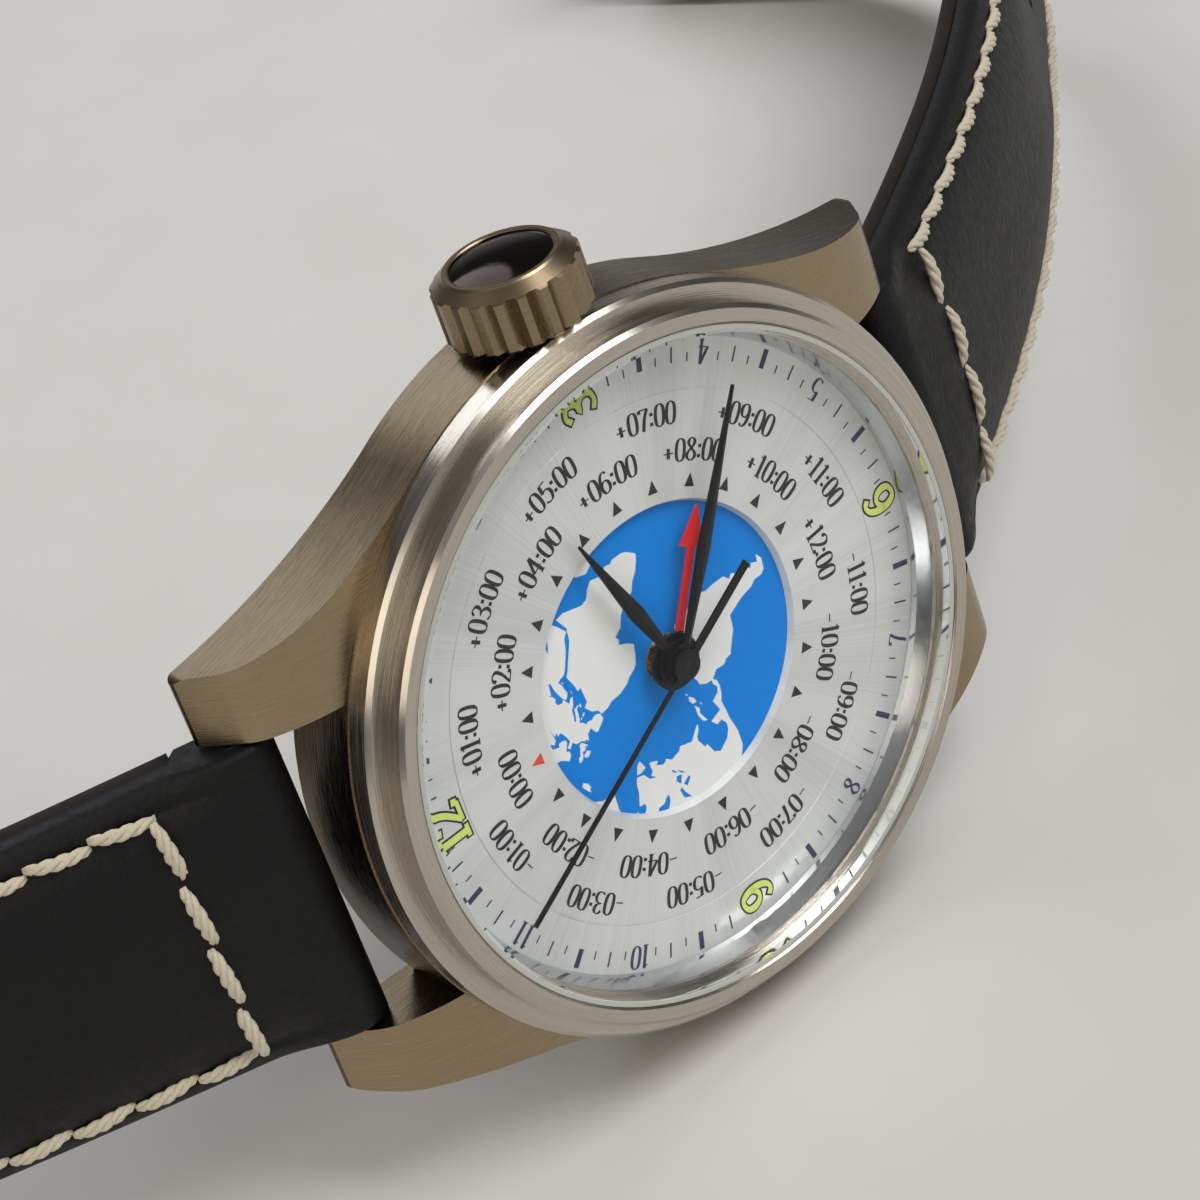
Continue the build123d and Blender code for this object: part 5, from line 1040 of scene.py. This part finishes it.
class WATCH_OT_stage(bpy.types.Operator):
    """Pale floor, soft studio lamps, world light and the camera"""
    bl_idname = "watch.stage"
    bl_label = "Stage"

    def execute(self, context):
        scene = context.scene
        scene.view_settings.view_transform = "Standard"
        bpy.ops.mesh.primitive_plane_add(size=6.0, location=(0, 0, 0))
        floor = context.active_object
        floor.name = "floor"
        made = bpy.data.materials.new("pale_floor")
        made.use_nodes = True
        tree = made.node_tree
        tree.nodes.clear()
        grain = noise(tree, add(tree, "ShaderNodeTexCoord").outputs["Object"], 90.0, 3.0)
        close_material(tree, Base_Color=blend(tree, grain, linear("#DCDAD5"), linear("#E3E1DD")), Roughness=0.85)
        floor.data.materials.append(made)

        world = bpy.data.worlds.new("studio")
        scene.world = world
        world.use_nodes = True
        tree = world.node_tree
        tree.nodes.clear()
        upwards = component(tree, add(tree, "ShaderNodeTexCoord").outputs["Generated"], 2)
        sky = ramp(tree, upwards, [(place, grey(light)) for place, light in SKY])
        background = add(tree, "ShaderNodeBackground", {"Color": sky, "Strength": 0.85})
        add(tree, "ShaderNodeOutputWorld", {"Surface": background.outputs[0]})

        for name, where, size, power, colour in LAMPS:
            lamp = bpy.data.lights.new(name, "AREA")
            lamp.shape, lamp.size, lamp.energy, lamp.color = "DISK", size, power, linear(colour)[:3]
            thing = add_object(name, lamp)
            thing.location = where
            thing.rotation_euler = (LAMP_AIM - Vector(where)).to_track_quat("-Z", "Y").to_euler()

        camera = bpy.data.cameras.new("camera")
        camera.sensor_width, camera.lens, camera.clip_start = 36.0, CAMERA_LENS, 0.005
        thing = add_object("camera", camera)
        turn = WATCH.to_3x3() * (1 / MM)
        axes = [(turn @ v).normalized() for v in (CAMERA_RIGHT, CAMERA_UP, CAMERA_RIGHT.cross(CAMERA_UP))]
        basis = Matrix(axes).transposed().to_4x4()
        thing.matrix_world = Matrix.Translation(WATCH @ CAMERA_PLACE) @ basis
        scene.camera = thing
        return {"FINISHED"}


class WATCH_OT_case(bpy.types.Operator):
    """Brushed and polished finishes of the case, bezel, crown, glass and buckle"""
    bl_idname = "watch.case"
    bl_label = "Case, crown and buckle"

    def execute(self, context):
        steel, rings = settings().steel_colour, settings().bezel_colour
        repaint(brushed_steel("steel_brushed_case", steel, "round", 0.20, 0.60, 0.45), "case_middle")
        repaint(brushed_steel("steel_brushed_rings", rings, "rings", 0.19, 0.60, 0.40), "bezel", "case_back_ring")
        repaint(crown_steel("steel_milled_crown", "#97866C", "#2B211B"), "crown")
        repaint(polished_metal("steel_turned_tube", "#9C968C", 0.25, 0.10), "crown_tube")
        repaint(polished_metal("steel_drawn_bars", "#8F9092", 0.24, 0.10), "spring_bar_12", "spring_bar_6",
                "spring_bar_12_tip", "spring_bar_6_tip", "buckle_bar", "winding_stem")
        repaint(brushed_steel("steel_brushed_buckle", "#C0BBB2", "along_right", 0.26, 0.3, 0.3),
                "buckle_frame", "buckle_tongue")
        glass = sapphire("sapphire_polished")
        repaint(glass, "case_back_glass")
        crystal = spun_crystal()
        finish_piece(crystal, "crystal_domed", "case", glass, smooth=False)
        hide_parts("crystal")
        repaint(dyed_rubber("nitrile_moulded"), "case_back_gasket", "crown_gasket")
        repaint(dyed_rubber("nylon_moulded_pale", "#C6C8C2"), "crystal_gasket")
        return {"FINISHED"}


class WATCH_OT_dial(bpy.types.Operator):
    """Sunray dial, inner ring and map disc"""
    bl_idname = "watch.dial"
    bl_label = "Dial and map disc"

    def execute(self, context):
        repaint(sunray_dial("silvered_sunray_dial", settings().dial_colour), "dial_plate")
        repaint(polished_metal("steel_polished_flange", "#C9CBCB", 0.10, 0.08), "inner_flange")
        repaint(lacquer("lacquered_blue_sea", settings().sea_colour, 0.50, 0.08), "map_disc")
        repaint(dyed_rubber("acetal_machined_ring", "#B9B9B4"), "movement_ring")
        return {"FINISHED"}


class WATCH_OT_print(bpy.types.Operator):
    """Printed ticks, triangles, hour numbers and hour offsets of the dial"""
    bl_idname = "watch.print"
    bl_label = "Dial print"

    def execute(self, context):
        black = printed_ink("ink_pad_printed_black", "#17181C")
        navy = printed_ink("ink_pad_printed_navy", "#2A3050")
        red = printed_ink("ink_pad_printed_red", "#D6402E")
        glow = printed_ink("luminous_paint_printed", settings().glow_colour, 0.6)

        turns = {}
        for index in range(DIVISIONS):
            step = index % (DIVISIONS // 12)
            if step:
                turns.setdefault(TICKS.get(step, SHORT_TICK), []).append(index * 360 / DIVISIONS)
        for (name, length, width), places in turns.items():
            ticks = copies_round(raised_mark(4, width, TICK_FOOT, TICK_FOOT + length), places)
            self.print_piece(ticks, name, navy)
        marks = copies_round(raised_mark(3, *TRIANGLE), [15 * i for i in range(1, 24)])
        self.print_piece(marks, "triangles", black)
        mark = copies_round(raised_mark(3, *TRIANGLE_12), [0])
        self.print_piece(mark, "triangle_12", red, "red_hand")

        points, faces = [], []
        for hour in (1, 2, 4, 5, 7, 8, 10, 11):
            write_round(points, faces, str(hour), HOUR_RADIUS, hour * 30, HOUR_PEN, inward=hour in (4, 5, 7, 8))
        self.print_piece(new_piece("hour_numbers", points, faces), "hour_numbers", navy)
        for name, grow, top, ink, slot in (
            ("luminous_outlines", OUTLINE_GROW, INK_HEIGHT, black, "black_hand"),
            ("luminous_numbers", 0.0, GLOW_HEIGHT, glow, "silver_dial"),
        ):
            points, faces = [], []
            for hour, radius in GLOW_RADII.items():
                write_round(points, faces, str(hour), radius, hour * 30, GLOW_PEN, upright=True, top=top, grow=grow)
            self.print_piece(new_piece(name, points, faces), name, ink, slot)
        points, faces = [], []
        for index in range(24):
            offset = index if index <= 12 else index - 24
            words = "00:00" if offset == 0 else f"{offset:+03d}:00"
            write_round(points, faces, words, OFFSET_RADII[index % 2], index * 15, OFFSET_PEN)
        self.print_piece(new_piece("hour_offsets", points, faces), "hour_offsets", black)
        return {"FINISHED"}

    def print_piece(self, made, name, ink, slot="black_hand"):
        finish_piece(made, name, "case", ink, smooth=False)


class WATCH_OT_map(bpy.types.Operator):
    """Land of the world map, printed on the blue disc"""
    bl_idname = "watch.map"
    bl_label = "Map land"

    def execute(self, context):
        lands = []
        for name, coast in COASTS.items():
            if name in sum(LAKES.values(), ()):
                continue
            flat = bpy.data.curves.new(name, "CURVE")
            flat.dimensions, flat.fill_mode, flat.extrude = "2D", "BOTH", LAND_HEIGHT / 2
            for water in (coast, *(COASTS[lake] for lake in LAKES.get(name, ()))):
                outline = land_outline(water)
                spline = flat.splines.new("POLY")
                spline.points.add(len(outline) - 1)
                spline.use_cyclic_u = True
                for point, place in zip(spline.points, outline):
                    point.co = (place.x, place.y, 0, 1)
            lands.append(add_object(name, flat))
        select(*lands)
        bpy.ops.object.convert(target="MESH")
        bpy.ops.object.join()
        made = context.active_object
        made.data.transform(WATCH @ Matrix.Translation((0, 0, MAP_TOP + LAND_HEIGHT / 2)))
        outward(made)
        land = printed_ink("ink_pad_printed_land", settings().land_colour, 0.5)
        finish_piece(made, "map_land", "case", land, smooth=False)
        return {"FINISHED"}


class WATCH_OT_hands(bpy.types.Operator):
    """Black hour, minute and seconds hands and the red 24 hour hand"""
    bl_idname = "watch.hands"
    bl_label = "Hands"

    def execute(self, context):
        repaint(lacquer("black_lacquer_hands", "#050609", 0.30, 0.22), "hour_hand", "minute_hand", "seconds_hand")
        repaint(lacquer("red_lacquer_hand", "#DD2428", 0.30, 0.3, "#050609"), "gmt_hand")
        return {"FINISHED"}


class WATCH_OT_movement(bpy.types.Operator):
    """Finishes of the plates, wheels, jewels, balance and rotor"""
    bl_idname = "watch.movement"
    bl_label = "Movement"

    def execute(self, context):
        repaint(turned_metal("rhodium_plated_bridges", "#C9C6C0", 13.0, 0.24), "main_plate", "train_bridge",
                "balance_cock", "automatic_bridge", "casing_clamps", "rotor_plate")
        repaint(turned_metal("brass_gilt_wheels", "#CFAE62", 6.0, 0.25), "barrel", "centre_wheel", "third_wheel",
                "fourth_wheel", "minute_wheel", "hour_wheel", "transfer_wheel", "gmt_wheel", "balance_wheel")
        repaint(turned_metal("tungsten_satin_weight", "#A8905C", 1.6, 0.34), "rotor_weight")
        repaint(polished_metal("steel_hardened_polished", "#A9ABAF", 0.12, 0.08), "winding_pinion", "sliding_pinion",
                "crown_wheel", "ratchet_wheel", "barrel_arbor", "cannon_pinion", "escape_wheel", "pallet_fork",
                "movement_screws", "rotor_bearing")
        repaint(polished_metal("alloy_blued_hairspring", "#5E6675", 0.20, 0.10), "hairspring")
        repaint(ruby("ruby_polished"), "jewels")
        return {"FINISHED"}


class WATCH_OT_strap(bpy.types.Operator):
    """Padded black calf strap halves with their linings and keepers"""
    bl_idname = "watch.strap"
    bl_label = "Strap"

    def execute(self, context):
        calf = calf_leather("calf_matte_black", settings().leather_colour, "#121213")
        inside = calf_leather("calf_lining_smooth", "#1C1714", "#262019", 0.8, 0.55)
        for build, node_end, material, slot in (
            (strap_upper, "_upper", calf, "black_leather"),
            (lining, "_lining", inside, "lining_leather"),
        ):
            for strap in (STRAP_12, STRAP_6):
                piece, node = build(strap), strap.body + node_end
                if strap.rounded:
                    cut_holes(piece, strap)
                finish_piece(piece, piece.name, strap.body, material)
                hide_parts(node)
        for node, body in (("fixed_keeper", "strap_12"), ("sliding_keeper", "sliding_keeper")):
            piece = finish_piece(keeper_loop(node), node + "_leather", body, calf)
            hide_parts(node)
        return {"FINISHED"}


class WATCH_OT_stitches(bpy.types.Operator):
    """Cream twisted stitches along the strap's edges"""
    bl_idname = "watch.stitches"
    bl_label = "Stitches"

    def execute(self, context):
        thread = waxed_thread("thread_waxed_cream", settings().thread_colour)
        pitch = settings().stitch_pitch / MM
        for strap in (STRAP_12, STRAP_6):
            piece = stitching(strap, pitch)
            finish_piece(piece, piece.name, strap.body, thread)
        return {"FINISHED"}


class WATCH_PT_panel(bpy.types.Panel):
    bl_label = "World time watch"
    bl_space_type = "VIEW_3D"
    bl_region_type = "UI"
    bl_category = "Watch"

    def draw(self, context):
        for name in WatchSizes.__annotations__:
            self.layout.prop(context.scene.watch_sizes, name)
        for operator in OPERATORS:
            self.layout.operator(operator.bl_idname)


OPERATORS = (
    WATCH_OT_stage, WATCH_OT_case, WATCH_OT_dial, WATCH_OT_print, WATCH_OT_map, WATCH_OT_hands,
    WATCH_OT_movement, WATCH_OT_strap, WATCH_OT_stitches,
)
CLASSES = (WatchSizes, *OPERATORS, WATCH_PT_panel)


def register():
    for kind in CLASSES:
        bpy.utils.register_class(kind)
    bpy.types.Scene.watch_sizes = bpy.props.PointerProperty(type=WatchSizes)


def unregister():
    del bpy.types.Scene.watch_sizes
    for kind in reversed(CLASSES):
        bpy.utils.unregister_class(kind)


def main():
    register()
    for operator in OPERATORS:
        group, action = operator.bl_idname.split(".")
        getattr(getattr(bpy.ops, group), action)()


if __name__ == "__main__":
    main()
